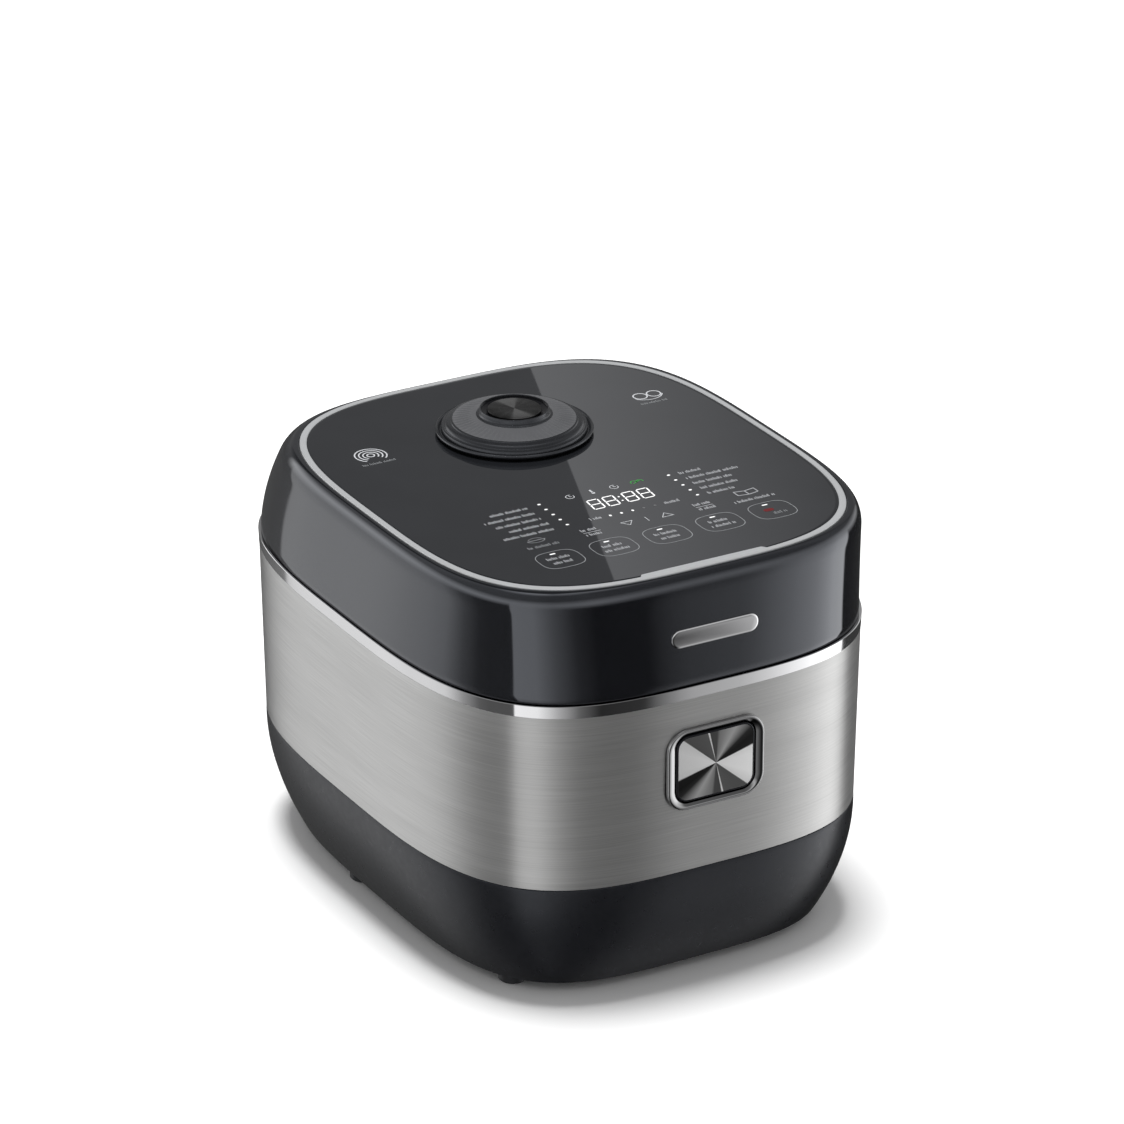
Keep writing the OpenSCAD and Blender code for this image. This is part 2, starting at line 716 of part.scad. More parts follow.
module name_plate() {
    plate_w = 56;
    plate_h = 11;
    plate_z = 220;
    lean = atan(2.6 / shoulder_h);
    front_y = lid_section(plate_z - seam_z)[3] - lid_section(plate_z - seam_z)[1];
    color([0.85, 0.85, 0.86]) translate([0, front_y - 0.1, plate_z]) rotate([-lean, 0, 0])
        front_plate(-1, 0) rounded_rect(plate_w, plate_h, plate_h / 2 - 0.01);
}

well_r = 112;
base_low = seam_z + 0.8;
dome_low = 196;
dome_high = 198;

module lid_base() {
    plate = inset(lid_section(4), lid_wall + 0.4);
    color([0.75, 0.76, 0.76]) difference() {
        union() {
            outline_plate(plate, base_low, base_low + 3);
            about_pot() translate([0, 0, base_low]) cylinder(r = well_r + 3, h = dome_high - base_low);
        }
        about_pot() translate([0, 0, base_low - 1]) cylinder(r = well_r, h = dome_low - base_low + 1);
        translate([0, cap_y, dome_low - 1]) cylinder(r = 9.2, h = 5);
        box([-hinge_cut_half, hinge_y - barrel_clear - 1, 180], [hinge_cut_half, 200, 230]);
        box([-7.3, -154.3, 180], [7.3, -152.2, 210]);
    }
    color([0.75, 0.76, 0.76]) for (sx = [-1, 1]) difference() {
        union() {
            rod_x(sx > 0 ? knuckle_in : -knuckle_out, sx > 0 ? knuckle_out : -knuckle_in,
                  barrel_r - 1, hinge_y, hinge_z);
            box([sx > 0 ? knuckle_in : -knuckle_out, hinge_y - barrel_clear - 8, base_low + 2.9],
                [sx > 0 ? knuckle_out : -knuckle_in, hinge_y - 2, hinge_z + 8]);
        }
        rod_x(-70, 70, pin_r + 0.06, hinge_y, hinge_z);
    }
    color([0.75, 0.76, 0.76]) hinge_hood();
}

module lid_heater() {
    color([0.75, 0.75, 0.75]) difference() {
        about_pot() translate([0, 0, 193.4]) cylinder(r = 104, h = 1);
        translate([0, cap_y, 190]) cylinder(r = 9.4, h = 10);
    }
    color([0.7, 0.3, 0.2]) about_pot() for (r = [40, 55, 84, 98])
        translate([0, 0, 195.1]) rotate_extrude() translate([r, 0]) circle(0.8, $fn = 16);
}

inner_lid_low = seam_z + 0.2;

module inner_lid() {
    color([0.8, 0.8, 0.8]) difference() {
        about_pot() translate([0, 0, inner_lid_low]) cylinder(r = 108, h = 1);
        translate([0, cap_y, 180]) cylinder(r = 6.5, h = 20);
        for (a = [0:60:300]) about_pot() rotate([0, 0, a]) translate([40, 0, 180]) cylinder(r = 2.5, h = 20);
    }
}

module lid_gasket() {
    color([0.6, 0.6, 0.6]) about_pot() rotate_extrude() polygon([
        [100, inner_lid_low], [100, inner_lid_low - 1.4], [106, inner_lid_low - 1.4],
        [110.5, inner_lid_low - 2.6], [112, inner_lid_low - 2.2], [111.4, inner_lid_low]]);
}

socket_low = 200;

module steam_duct() {
    color([0.5, 0.5, 0.5]) translate([0, cap_y, 0]) rotate_extrude() polygon([
        [6.5, inner_lid_low + 1], [9, inner_lid_low + 1], [9, dome_high], [13, dome_high],
        [13, socket_low], [9, socket_low], [9, socket_low + 3], [6.5, socket_low + 3]]);
}

module cap_socket() {
    color([0.15, 0.15, 0.15]) translate([0, cap_y, 0]) rotate_extrude() polygon([
        [9.2, socket_low], [37.5, socket_low], [37.5, panel_top - panel_t - 0.2],
        [35.5, panel_top - panel_t - 0.2], [35.5, socket_low + 2], [9.2, socket_low + 2]]);
}

module catch_plate() {
    color([0.75, 0.75, 0.75]) {
        box([-7, -154, 178], [7, -152.5, base_low + 4.5]);
        box([-7, -157, 178], [7, -153, 180]);
        box([-7, -162, base_low + 3], [7, -144, base_low + 4.5]);
    }
}

// ---- Steam cap -----------------------------------------------------------------------
cap_low = top_z + 0.2;
boss_r = 18.2;            // bore of the cap's collar
insert_z = top_z + 11;

module about_cap() {
    translate([0, cap_y, 0]) children();
}

// Radius and height above the lid's top face.
cap_profile = [[31, 0.2], [44, 0.2], [46.4, 2.2], [46.3, 3.2], [45, 3.6], [43.4, 1.9], [42.8, 4.8], [41.6, 5.5],
    [39.5, 7.4], [37.8, 7.9], [36.4, 8.6], [22.2, 11.2], [21, 11.7], [20.3, 12.2], [19.4, 14.2], [18.6, 15],
    [boss_r, 14.9], [boss_r, 11], [0, 11], [0, 9], [28, 4.2], [31, 2.2]];

module steam_cap() {
    color([0.3, 0.3, 0.32]) about_cap() translate([0, 0, top_z]) rotate_extrude() polygon(cap_profile);
}

module cap_insert() {
    color([0.75, 0.76, 0.76]) about_cap() translate([0, 0, insert_z]) rotate_extrude()
        polygon([[0, 0], [boss_r - 0.1, 0], [boss_r - 0.1, 3.2], [16, 3.2], [15.8, 3.6], [0, 3.6]]);
}

module steam_cup() {
    cup_low = 207;
    color([0.2, 0.2, 0.2]) about_cap() rotate_extrude() polygon([
        [4, cup_low], [33, cup_low], [34, cup_low + 3], [34, cap_low], [31, cap_low],
        [31, cup_low + 2.5], [4, cup_low + 2.5]]);
}

module cup_seal() {
    color([0.6, 0.6, 0.6]) about_cap() translate([0, 0, 214]) rotate_extrude()
        polygon([[34, 0], [34.9, 0.6], [34.9, 1.8], [34, 2.4]]);
}

base_shell();
bottom_cover();
rubber_feet();
base_screws();
body_liner();
steel_skin();
chrome_band();
rear_cover();
upper_deck();
hinge_barrel();
hinge_pin();
hinge_springs();
coil_bowl();
inner_pot();
coil_bottom();
coil_side();
coil_tray();
ferrite_bars();
sensor_housing();
sensor_cap();
sensor_spring();
power_board();
heat_sink();
board_components();
mains_inlet();
inlet_pins();
mains_wires();
fan_frame();
fan_rotor();
button_bezel();
button_guide();
open_button();
latch_bracket();
latch_pin();
latch_spring();
latch_lever();
lid_shell();
trim_ring();
top_panel();
control_board();
display_module();
light_guides();
name_plate();
lid_base();
lid_heater();
inner_lid();
lid_gasket();
steam_duct();
cap_socket();
catch_plate();
steam_cap();
cap_insert();
steam_cup();
cup_seal();
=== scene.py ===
"""Looks of the rice cooker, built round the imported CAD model. Lengths are millimetres until a mesh is made."""

import json
import math

import bmesh
import bpy
from mathutils import Matrix, Vector


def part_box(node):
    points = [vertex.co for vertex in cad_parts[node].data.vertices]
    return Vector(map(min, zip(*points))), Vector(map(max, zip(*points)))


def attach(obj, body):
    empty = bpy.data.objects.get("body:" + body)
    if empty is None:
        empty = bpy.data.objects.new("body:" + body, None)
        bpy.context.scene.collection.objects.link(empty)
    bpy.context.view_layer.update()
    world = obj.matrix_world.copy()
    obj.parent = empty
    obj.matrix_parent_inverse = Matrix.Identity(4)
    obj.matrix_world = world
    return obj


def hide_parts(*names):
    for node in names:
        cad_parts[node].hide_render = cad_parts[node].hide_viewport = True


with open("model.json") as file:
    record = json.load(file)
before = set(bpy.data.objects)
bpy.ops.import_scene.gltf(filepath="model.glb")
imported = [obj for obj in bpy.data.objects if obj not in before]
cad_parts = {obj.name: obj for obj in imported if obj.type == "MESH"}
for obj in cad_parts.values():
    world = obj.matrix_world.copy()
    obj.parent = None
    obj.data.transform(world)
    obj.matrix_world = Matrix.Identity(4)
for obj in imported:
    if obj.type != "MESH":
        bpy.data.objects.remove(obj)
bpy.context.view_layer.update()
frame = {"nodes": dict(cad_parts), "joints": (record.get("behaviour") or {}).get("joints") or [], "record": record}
scene = bpy.context.scene

MM = 0.001
SEGMENTS = 288                      # points round a body outline
TURN = 2 * math.pi


def corners(node):
    """Lowest and highest corner of a CAD node, in millimetres."""
    low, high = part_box(node)
    return low / MM, high / MM


def joint_place(name):
    """The place of a joint's axis, in millimetres."""
    for joint in frame["joints"]:
        if joint["name"] == name:
            return Vector(joint["pos_m"]) / MM


# ---- Sizes read from the frame ---------------------------------------------------------
half_w = corners("chrome_band")[1].x
half_d = corners("chrome_band")[1].y
band_z, seam_z = corners("chrome_band")[0].z, corners("chrome_band")[1].z
skirt_z = corners("steel_skin")[0].z
foot_h = corners("base_shell")[0].z
top_z = corners("trim_ring")[1].z
panel_z = corners("top_panel")[1].z
ledge_z = corners("trim_ring")[0].z
lid_low = corners("lid_shell")[0].z
rim_h = corners("lid_shell")[1].z - seam_z
cap_y = (corners("steam_cap")[0].y + corners("steam_cap")[1].y) / 2
button_z = (corners("open_button")[0].z + corners("open_button")[1].z) / 2
bezel_front = corners("button_bezel")[0].y
hinge = joint_place("lid_hinge")
barrel_r = corners("hinge_barrel")[1].z - hinge.z

# ---- Plan outlines, by the same rules as the CAD model -----------------------------------
SQUARENESS = 3.45
SHOULDER_H = 54.0


def signed_pow(value, power):
    """Power that keeps the sign of its value."""
    return math.copysign(abs(value) ** power, value)


def outline(section, count=SEGMENTS):
    """Points of a plan outline. A section is (half width, half depth, squareness, centre y, z)."""
    a, b, n, cy, z = section
    points = []
    for i in range(count):
        t = TURN * i / count
        points.append(Vector((a * signed_pow(math.cos(t), 2 / n),
                              cy + b * signed_pow(math.sin(t), 2 / n), z)))
    return points


def inset(section, d, dz=0.0):
    """The same outline d millimetres further in, and dz higher."""
    a, b, n, cy, z = section
    return (a - d, b - d, n, cy, z + dz)


def at_z(section, z):
    """The same outline at another height."""
    return section[:4] + (z,)


def skirt_section(t):
    """Base outline, from t = 0 at the steel to t = 1 at the bottom edge."""
    return (half_w - 2.2 - 18.9 * t ** 1.9, half_d - 2.1 - 20.2 * t ** 1.9,
            SQUARENESS + 0.28 * t, 0.0, skirt_z - (skirt_z - foot_h) * t)


def wall_at(z):
    """Steel wall outline at height z."""
    f = (z - skirt_z) / (band_z - skirt_z)
    return (half_w - 2.2 + 1.95 * f, half_d - 2.1 + 1.3 * f, SQUARENESS, 0.0, z)


def lid_section(h):
    """Lid outline at height h above the seam; it rounds over above the shoulder."""
    turn = 0.0
    if h > SHOULDER_H:
        turn = 1 - math.sqrt(max(0.0, 1 - ((h - SHOULDER_H) / (rim_h - SHOULDER_H + 0.1)) ** 2))
    side = 1.4 + 2.4 * h / SHOULDER_H + 5.7 * turn
    front = 1.4 + 2.6 * h / SHOULDER_H + 5.0 * turn
    back = 1.4 + 39.4 * (h / rim_h) ** 1.6 + 3.2 * turn
    return (half_w - side, half_d - (front + back) / 2, SQUARENESS + 0.2 * h / rim_h,
            (front - back) / 2, seam_z + h)


ring_section = (half_w - 11.3, half_d - 27.7, 3.5, -16.95, top_z)
RING_W = 3.8                        # the same width as in the CAD model


# ---- Mesh helpers ------------------------------------------------------------------------
def finish_mesh(name, bm, body, material, replaced=(), smooth=35.0):
    """Makes an object of a bmesh in millimetres, shaded smooth up to an angle, riding on a body."""
    bmesh.ops.remove_doubles(bm, verts=bm.verts, dist=1e-4)
    bmesh.ops.recalc_face_normals(bm, faces=bm.faces)
    mesh = bpy.data.meshes.new(name)
    bm.to_mesh(mesh)
    bm.free()
    mesh.transform(Matrix.Scale(MM, 4))
    mesh.shade_smooth()
    mesh.set_sharp_from_angle(angle=math.radians(smooth))
    mesh.materials.append(material)
    piece = bpy.data.objects.new(name, mesh)
    scene.collection.objects.link(piece)
    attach(piece, body)
    if replaced:
        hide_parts(*replaced)
    return piece


def add_loft(bm, rings, wrap=False, cap_start=False, cap_end=False):
    """Skins a list of rings with the same number of points; wrap joins the last ring to the first."""
    grid = [[bm.verts.new(p) for p in ring] for ring in rings]
    count = len(grid[0])
    last = len(grid) if wrap else len(grid) - 1
    for k in range(last):
        low, high = grid[k], grid[(k + 1) % len(grid)]
        for i in range(count):
            j = (i + 1) % count
            bm.faces.new((low[i], low[j], high[j], high[i]))
    if cap_start:
        bm.faces.new(grid[0])
    if cap_end:
        bm.faces.new(grid[-1])


def loft(name, rings, body, material, replaced=(), wrap=True, smooth=35.0, caps=False):
    """Makes one piece by skinning rings."""
    bm = bmesh.new()
    add_loft(bm, rings, wrap, caps, caps)
    return finish_mesh(name, bm, body, material, replaced, smooth)


def circle_ring(r, x, y, z, count=160):
    """Level circle as a ring of points."""
    return [Vector((x + r * math.cos(TURN * i / count), y + r * math.sin(TURN * i / count), z))
            for i in range(count)]


def lathe(name, profile, centre, body, material, replaced=()):
    """Turns a profile of (radius, z) about a vertical axis."""
    rings = [circle_ring(max(r, 1e-5), centre[0], centre[1], z) for r, z in profile]
    return loft(name, rings, body, material, replaced)


def arc(cx, cy, r, start, end, steps):
    """Points on an arc, angles in degrees."""
    return [(cx + r * math.cos(math.radians(start + (end - start) * i / steps)),
             cy + r * math.sin(math.radians(start + (end - start) * i / steps))) for i in range(steps + 1)]


def rounded_rect(w, h, r, steps=12):
    """Outline of a rounded rectangle about (0, 0), anticlockwise."""
    points = []
    for sx, sy, start in ((1, 1, 0), (-1, 1, 90), (-1, -1, 180), (1, -1, 270)):
        points += arc(sx * (w / 2 - r), sy * (h / 2 - r), r, start, start + 90, steps)
    return points


def front_ring(w, h, r, y, z, steps=12):
    """Rounded rectangle facing the front, as a ring at depth y."""
    return [Vector((u, y, z + v)) for u, v in rounded_rect(w, h, r, steps)]


def box_rings(low, high):
    """Block between two corners, as a cutter's rings."""
    return [[Vector((low[0], low[1], z)), Vector((high[0], low[1], z)), Vector((high[0], high[1], z)),
             Vector((low[0], high[1], z))] for z in (low[2], high[2])]


def bar_rings(half, radius, y, z):
    """Round bar along X, centred on x = 0."""
    return [[Vector((x, y + radius * math.cos(TURN * i / 96), z + radius * math.sin(TURN * i / 96)))
             for i in range(96)] for x in (-half, half)]


def cut(piece, rings):
    """Cuts the solid between two rings out of a piece."""
    bm = bmesh.new()
    add_loft(bm, rings, False, True, True)
    bmesh.ops.recalc_face_normals(bm, faces=bm.faces)
    mesh = bpy.data.meshes.new("cutter")
    bm.to_mesh(mesh)
    bm.free()
    mesh.transform(Matrix.Scale(MM, 4))
    cutter = bpy.data.objects.new("cutter", mesh)
    scene.collection.objects.link(cutter)
    modifier = piece.modifiers.new("cut", "BOOLEAN")
    modifier.operation = "DIFFERENCE"
    modifier.solver = "EXACT"
    modifier.object = cutter
    bpy.context.view_layer.update()
    cut_mesh = bpy.data.meshes.new_from_object(piece.evaluated_get(bpy.context.evaluated_depsgraph_get()))
    piece.modifiers.remove(modifier)
    piece.data = cut_mesh
    bpy.data.objects.remove(cutter)


# ---- Materials ---------------------------------------------------------------------------
class Nodes:
    """Short calls for building a material's node tree."""

    def __init__(self, name):
        self.material = bpy.data.materials.new(name)
        self.material.use_nodes = True
        self.tree = self.material.node_tree
        self.shader = self.tree.nodes["Principled BSDF"]

    def set(self, **values):
        for key, value in values.items():
            socket = self.shader.inputs[key.replace("_", " ")]
            socket.default_value = (*value, 1.0) if isinstance(value, tuple) else value

    def add(self, kind, **settings):
        node = self.tree.nodes.new(kind)
        for key, value in settings.items():
            setattr(node, key, value)
        return node

    def link(self, source, target):
        self.tree.links.new(source, target)

    def place(self, scale=(1.0, 1.0, 1.0)):
        """Object coordinates, stretched."""
        coords = self.add("ShaderNodeTexCoord")
        mapping = self.add("ShaderNodeMapping")
        mapping.inputs["Scale"].default_value = scale
        self.link(coords.outputs["Object"], mapping.inputs["Vector"])
        return mapping.outputs["Vector"]

    def noise(self, scale, detail=3.0, stretch=(1.0, 1.0, 1.0)):
        node = self.add("ShaderNodeTexNoise")
        node.inputs["Scale"].default_value = scale
        node.inputs["Detail"].default_value = detail
        self.link(self.place(stretch), node.inputs["Vector"])
        return node.outputs["Fac"]

    def ramp(self, factor, stops):
        """Colour ramp; a stop is (position, grey level or colour)."""
        node = self.add("ShaderNodeValToRGB")
        elements = node.color_ramp.elements
        while len(elements) < len(stops):
            elements.new(0.5)
        for element, (position, value) in zip(elements, sorted(stops, key=lambda s: s[0])):
            element.position = position
            element.color = (*value, 1.0) if isinstance(value, tuple) else (value, value, value, 1.0)
        self.link(factor, node.inputs["Fac"])
        return node.outputs["Color"]

    def bump(self, height, strength, distance):
        node = self.add("ShaderNodeBump")
        node.inputs["Strength"].default_value = strength
        node.inputs["Distance"].default_value = distance
        self.link(height, node.inputs["Height"])
        self.link(node.outputs["Normal"], self.shader.inputs["Normal"])

    def color(self, factor, low, high, span=(0.3, 0.7)):
        self.link(self.ramp(factor, [(span[0], low), (span[1], high)]), self.shader.inputs["Base Color"])

    def roughness(self, factor, low, high, span=(0.3, 0.7)):
        self.link(self.ramp(factor, [(span[0], low), (span[1], high)]), self.shader.inputs["Roughness"])


COOL = (0.87, 0.91, 1.0)            # faint blue of light off the dark plastics
STEEL_LOW = (0.515, 0.515, 0.511)
STEEL_HIGH = (0.64, 0.64, 0.635)


def moulded(name, color, rough, grain=1800.0, depth=0.00004, spread=0.25):
    """Moulded plastic: a fine spark-eroded grain and slight change of tone."""
    m = Nodes(name)
    m.set(IOR=1.44, Specular_Tint=COOL)
    cloud = m.noise(60.0, 4.0)
    m.color(cloud, tuple(c * (1 - spread) for c in color), tuple(c * (1 + spread) for c in color))
    m.roughness(m.noise(240.0, 3.0), rough - 0.03, rough + 0.04)
    m.bump(m.noise(grain, 4.0), 0.25, depth)
    return m.material


def gloss(name, color, rough=0.03, ior=1.52):
    """Polished plastic with a thin film of handling marks."""
    m = Nodes(name)
    m.set(IOR=ior, Specular_Tint=COOL)
    cloud = m.noise(25.0, 3.0)
    m.color(cloud, color, tuple(c * 1.2 for c in color))
    m.roughness(m.noise(90.0, 5.0), rough, rough * 1.6, (0.45, 0.75))
    return m.material


def metal(name, color, rough, grain=(1.0, 1.0, 1.0), scale=300.0, spread=0.08, bump=0.05, metallic=1.0):
    """Bare metal, or a metallic paint where metallic is below one."""
    m = Nodes(name)
    m.set(Metallic=metallic)
    streak = m.noise(scale, 4.0, grain)
    m.color(streak, tuple(c * (1 - spread) for c in color), tuple(min(1.0, c * (1 + spread)) for c in color))
    m.roughness(streak, rough - 0.03, rough + 0.05)
    if bump:
        m.bump(streak, bump, 0.00002)
    return m.material


def brushed_wall():
    """Steel sheet brushed round the body: long level scratches, so gloss spreads up and down."""
    m = Nodes("steel_wall")
    m.set(Metallic=1.0, Anisotropic=0.93, Anisotropic_Rotation=0.25)
    fine = m.noise(60.0, 7.0, (0.35, 0.35, 30.0))
    broad = m.noise(9.0, 3.0, (0.6, 0.6, 9.0))
    mix = m.add("ShaderNodeMath", operation="MULTIPLY_ADD")
    mix.inputs[1].default_value = 0.35
    m.link(broad, mix.inputs[0])
    m.link(fine, mix.inputs[2])
    m.color(mix.outputs[0], STEEL_LOW, STEEL_HIGH, (0.45, 0.9))
    m.roughness(fine, 0.40, 0.47)
    tangent = m.add("ShaderNodeTangent", direction_type="RADIAL", axis="Z")
    m.link(tangent.outputs["Tangent"], m.shader.inputs["Tangent"])
    return m.material


def spun_with_painted_reflection(name, axis, reflection_levels, rough=0.22):
    """Face turned in fine circles, its base colour a painted reflection: light and dark wedges round the centre, the
    same every half turn.
    """
    m = Nodes(name)
    m.set(Metallic=1.0, Anisotropic=0.3)
    coords = m.add("ShaderNodeTexCoord")
    centre = m.add("ShaderNodeVectorMath", operation="SUBTRACT")
    centre.inputs[1].default_value = (0.5, 0.5, 0.5)
    m.link(coords.outputs["Generated"], centre.inputs[0])
    parts = m.add("ShaderNodeSeparateXYZ")
    m.link(centre.outputs["Vector"], parts.inputs["Vector"])
    up = {"Y": "Z", "Z": "Y"}[axis]
    low, high = (corners("open_button") if axis == "Y" else corners("cap_insert"))
    height = (high - low)["XYZ".index(up)] / (high - low).x
    scaled = m.add("ShaderNodeMath", operation="MULTIPLY")
    scaled.inputs[1].default_value = height
    m.link(parts.outputs[up], scaled.inputs[0])
    angle = m.add("ShaderNodeMath", operation="ARCTAN2")
    m.link(scaled.outputs[0], angle.inputs[0])
    m.link(parts.outputs["X"], angle.inputs[1])
    half_turns = m.add("ShaderNodeMath", operation="MULTIPLY_ADD")
    half_turns.inputs[1].default_value = 1 / math.pi
    half_turns.inputs[2].default_value = 2.0
    m.link(angle.outputs[0], half_turns.inputs[0])
    part = m.add("ShaderNodeMath", operation="FRACT")
    m.link(half_turns.outputs[0], part.inputs[0])
    # Painted reflection: the wedge table sets the base colour by angle, standing in for highlights seen in the turned
    # face.
    m.link(m.ramp(part.outputs[0], reflection_levels), m.shader.inputs["Base Color"])
    radius = m.add("ShaderNodeVectorMath", operation="LENGTH")
    flat = m.add("ShaderNodeCombineXYZ")
    m.link(parts.outputs["X"], flat.inputs["X"])
    m.link(scaled.outputs[0], flat.inputs["Y"])
    m.link(flat.outputs["Vector"], radius.inputs[0])
    rings = m.add("ShaderNodeTexNoise", noise_dimensions="1D")
    rings.inputs["Scale"].default_value = 120.0
    m.link(radius.outputs["Value"], rings.inputs["W"])
    m.roughness(rings.outputs["Fac"], rough - 0.04, rough + 0.08)
    m.bump(rings.outputs["Fac"], 0.12, 0.00003)
    tangent = m.add("ShaderNodeTangent", direction_type="RADIAL", axis=axis)
    m.link(tangent.outputs["Tangent"], m.shader.inputs["Tangent"])
    return m.material


def pot_coating():
    """Dark non-stick coat with pale specks."""
    m = Nodes("pot_coating")
    m.set(IOR=1.5)
    speck = m.add("ShaderNodeTexVoronoi")
    speck.inputs["Scale"].default_value = 900.0
    m.link(m.place(), speck.inputs["Vector"])
    m.link(m.ramp(speck.outputs["Distance"], [(0.05, (0.22, 0.2, 0.18)), (0.16, (0.028, 0.027, 0.028))]),
           m.shader.inputs["Base Color"])
    m.roughness(m.noise(150.0), 0.26, 0.36)
    m.bump(m.noise(1200.0), 0.15, 0.00003)
    return m.material


def copper_wire():
    """Stranded copper."""
    m = Nodes("copper_wire")
    m.set(Metallic=0.8)
    strands = m.add("ShaderNodeTexWave")
    strands.inputs["Scale"].default_value = 300.0
    strands.inputs["Distortion"].default_value = 1.5
    m.link(m.place(), strands.inputs["Vector"])
    m.color(strands.outputs["Fac"], (0.28, 0.1, 0.05), (0.6, 0.28, 0.14))
    m.roughness(strands.outputs["Fac"], 0.25, 0.4)
    m.bump(strands.outputs["Fac"], 0.4, 0.0001)
    return m.material


def circuit_board():
    """Green board with tracks."""
    m = Nodes("circuit_board")
    m.set(IOR=1.5)
    tracks = m.add("ShaderNodeTexBrick")
    tracks.inputs["Scale"].default_value = 90.0
    tracks.inputs["Mortar Size"].default_value = 0.06
    tracks.inputs["Color1"].default_value = (0.012, 0.10, 0.04, 1.0)
    tracks.inputs["Color2"].default_value = (0.016, 0.12, 0.05, 1.0)
    tracks.inputs["Mortar"].default_value = (0.03, 0.19, 0.08, 1.0)
    m.link(m.place(), tracks.inputs["Vector"])
    m.link(tracks.outputs["Color"], m.shader.inputs["Base Color"])
    m.roughness(m.noise(200.0), 0.3, 0.4)
    return m.material


def printed(name, color, lit_and_painted_glow=0.0):
    """Screen-printed ink, slightly uneven; lit_and_painted_glow is the light of a lit mark, and a painted glow on plain
    print.
    """
    m = Nodes(name)
    cloud = m.noise(700.0, 3.0)
    m.color(cloud, tuple(c * 0.88 for c in color), color)
    m.set(Roughness=0.5, Emission_Color=color, Emission_Strength=lit_and_painted_glow)
    return m.material


# Painted reflection round a turned face: bright and dark wedges of reflected light painted into the base colour, as
# (part of a half turn, grey level).
BUTTON_PAINTED_REFLECTION_WEDGES = [(0.0, 0.95), (0.07, 0.86), (0.082, 0.02), (0.15, 0.015), (0.20, 0.03), (0.31, 0.46),
                 (0.40, 0.30), (0.455, 0.24), (0.485, 0.09), (0.563, 0.08), (0.567, 0.8), (0.581, 0.8),
                 (0.585, 0.13), (0.768, 0.11), (0.772, 0.8), (0.86, 0.95), (1.0, 0.95)]
INSERT_PAINTED_REFLECTION_WEDGES = [(0.0, 0.06), (0.1, 0.045), (0.16, 0.08), (0.22, 0.05), (0.28, 0.09), (0.34, 0.29),
                 (0.55, 0.30), (0.62, 0.08), (0.7, 0.045), (0.8, 0.075), (0.9, 0.04), (1.0, 0.06)]

MATERIALS = {
    "base_plastic": moulded("base_plastic", (0.0080, 0.0084, 0.0105), 0.30, spread=0.06),
    "inner_plastic": moulded("inner_plastic", (0.022, 0.022, 0.024), 0.38),
    "white_plastic": moulded("white_plastic", (0.62, 0.61, 0.57), 0.42, spread=0.05),
    "lid_gloss": gloss("lid_gloss", (0.0045, 0.0048, 0.0060), 0.05, 1.8),
    "panel_gloss": gloss("panel_gloss", (0.0090, 0.0096, 0.0112), 0.008),
    "silver_trim": metal("silver_trim", (0.50, 0.51, 0.52), 0.34, scale=60.0, spread=0.02, bump=0, metallic=0.4),
    "steel_wall": brushed_wall(),
    "bezel_chrome": metal("bezel_chrome", (0.33, 0.33, 0.335), 0.08, scale=40.0, spread=0.02, bump=0),
    "chrome": metal("chrome", (0.66, 0.66, 0.67), 0.07, scale=40.0, spread=0.02, bump=0),
    # spun_button and spun_metal paint reflection wedges into their base colour.
    "spun_button": spun_with_painted_reflection("spun_button", "Y", BUTTON_PAINTED_REFLECTION_WEDGES, 0.40),
    "spun_metal": spun_with_painted_reflection("spun_metal", "Z", INSERT_PAINTED_REFLECTION_WEDGES, 0.30),
    "aluminium": metal("aluminium", (0.66, 0.66, 0.67), 0.33),
    "zinc_steel": metal("zinc_steel", (0.52, 0.52, 0.53), 0.30),
    "pot_coating": pot_coating(),
    "copper_wire": copper_wire(),
    "ferrite": moulded("ferrite", (0.05, 0.05, 0.052), 0.55),
    "circuit_board": circuit_board(),
    "component_body": gloss("component_body", (0.02, 0.025, 0.08), 0.2),
    "display_window": gloss("display_window", (0.006, 0.006, 0.007), 0.03),
    "light_guide": moulded("light_guide", (0.65, 0.65, 0.63), 0.25, spread=0.05),
    "rubber_black": moulded("rubber_black", (0.012, 0.012, 0.012), 0.6),
    "silicone_grey": moulded("silicone_grey", (0.20, 0.205, 0.205), 0.45, spread=0.08),
    "cap_grey": gloss("cap_grey", (0.012, 0.0125, 0.014), 0.24, 1.6),
    "cap_fan": gloss("cap_fan", (0.075, 0.076, 0.080), 0.30),
    "cap_black": gloss("cap_black", (0.006, 0.006, 0.007), 0.08, 1.3),
}
# The small glow on the white, grey, green and red ink is painted light that brightens plain print; the bright ink's
# glow stands for lit marks.
INK_WHITE = printed("ink_white", (0.50, 0.51, 0.53), 0.08)
INK_BRIGHT = printed("ink_bright", (0.85, 0.85, 0.85), 0.35)
INK_GREY = printed("ink_grey", (0.27, 0.28, 0.29), 0.03)
INK_FAINT = printed("ink_faint", (0.12, 0.12, 0.125))
INK_GREEN = printed("ink_green", (0.04, 0.26, 0.05), 0.08)
INK_RED = printed("ink_red", (0.12, 0.010, 0.012), 0.02)


def dress_cad_nodes():
    """Every CAD node that stays visible gets the material of its slot."""
    for row in frame["record"]["subparts"]:
        mesh = frame["nodes"][row["node"]].data
        mesh.materials.clear()
        mesh.materials.append(MATERIALS[row["material_slot"]])


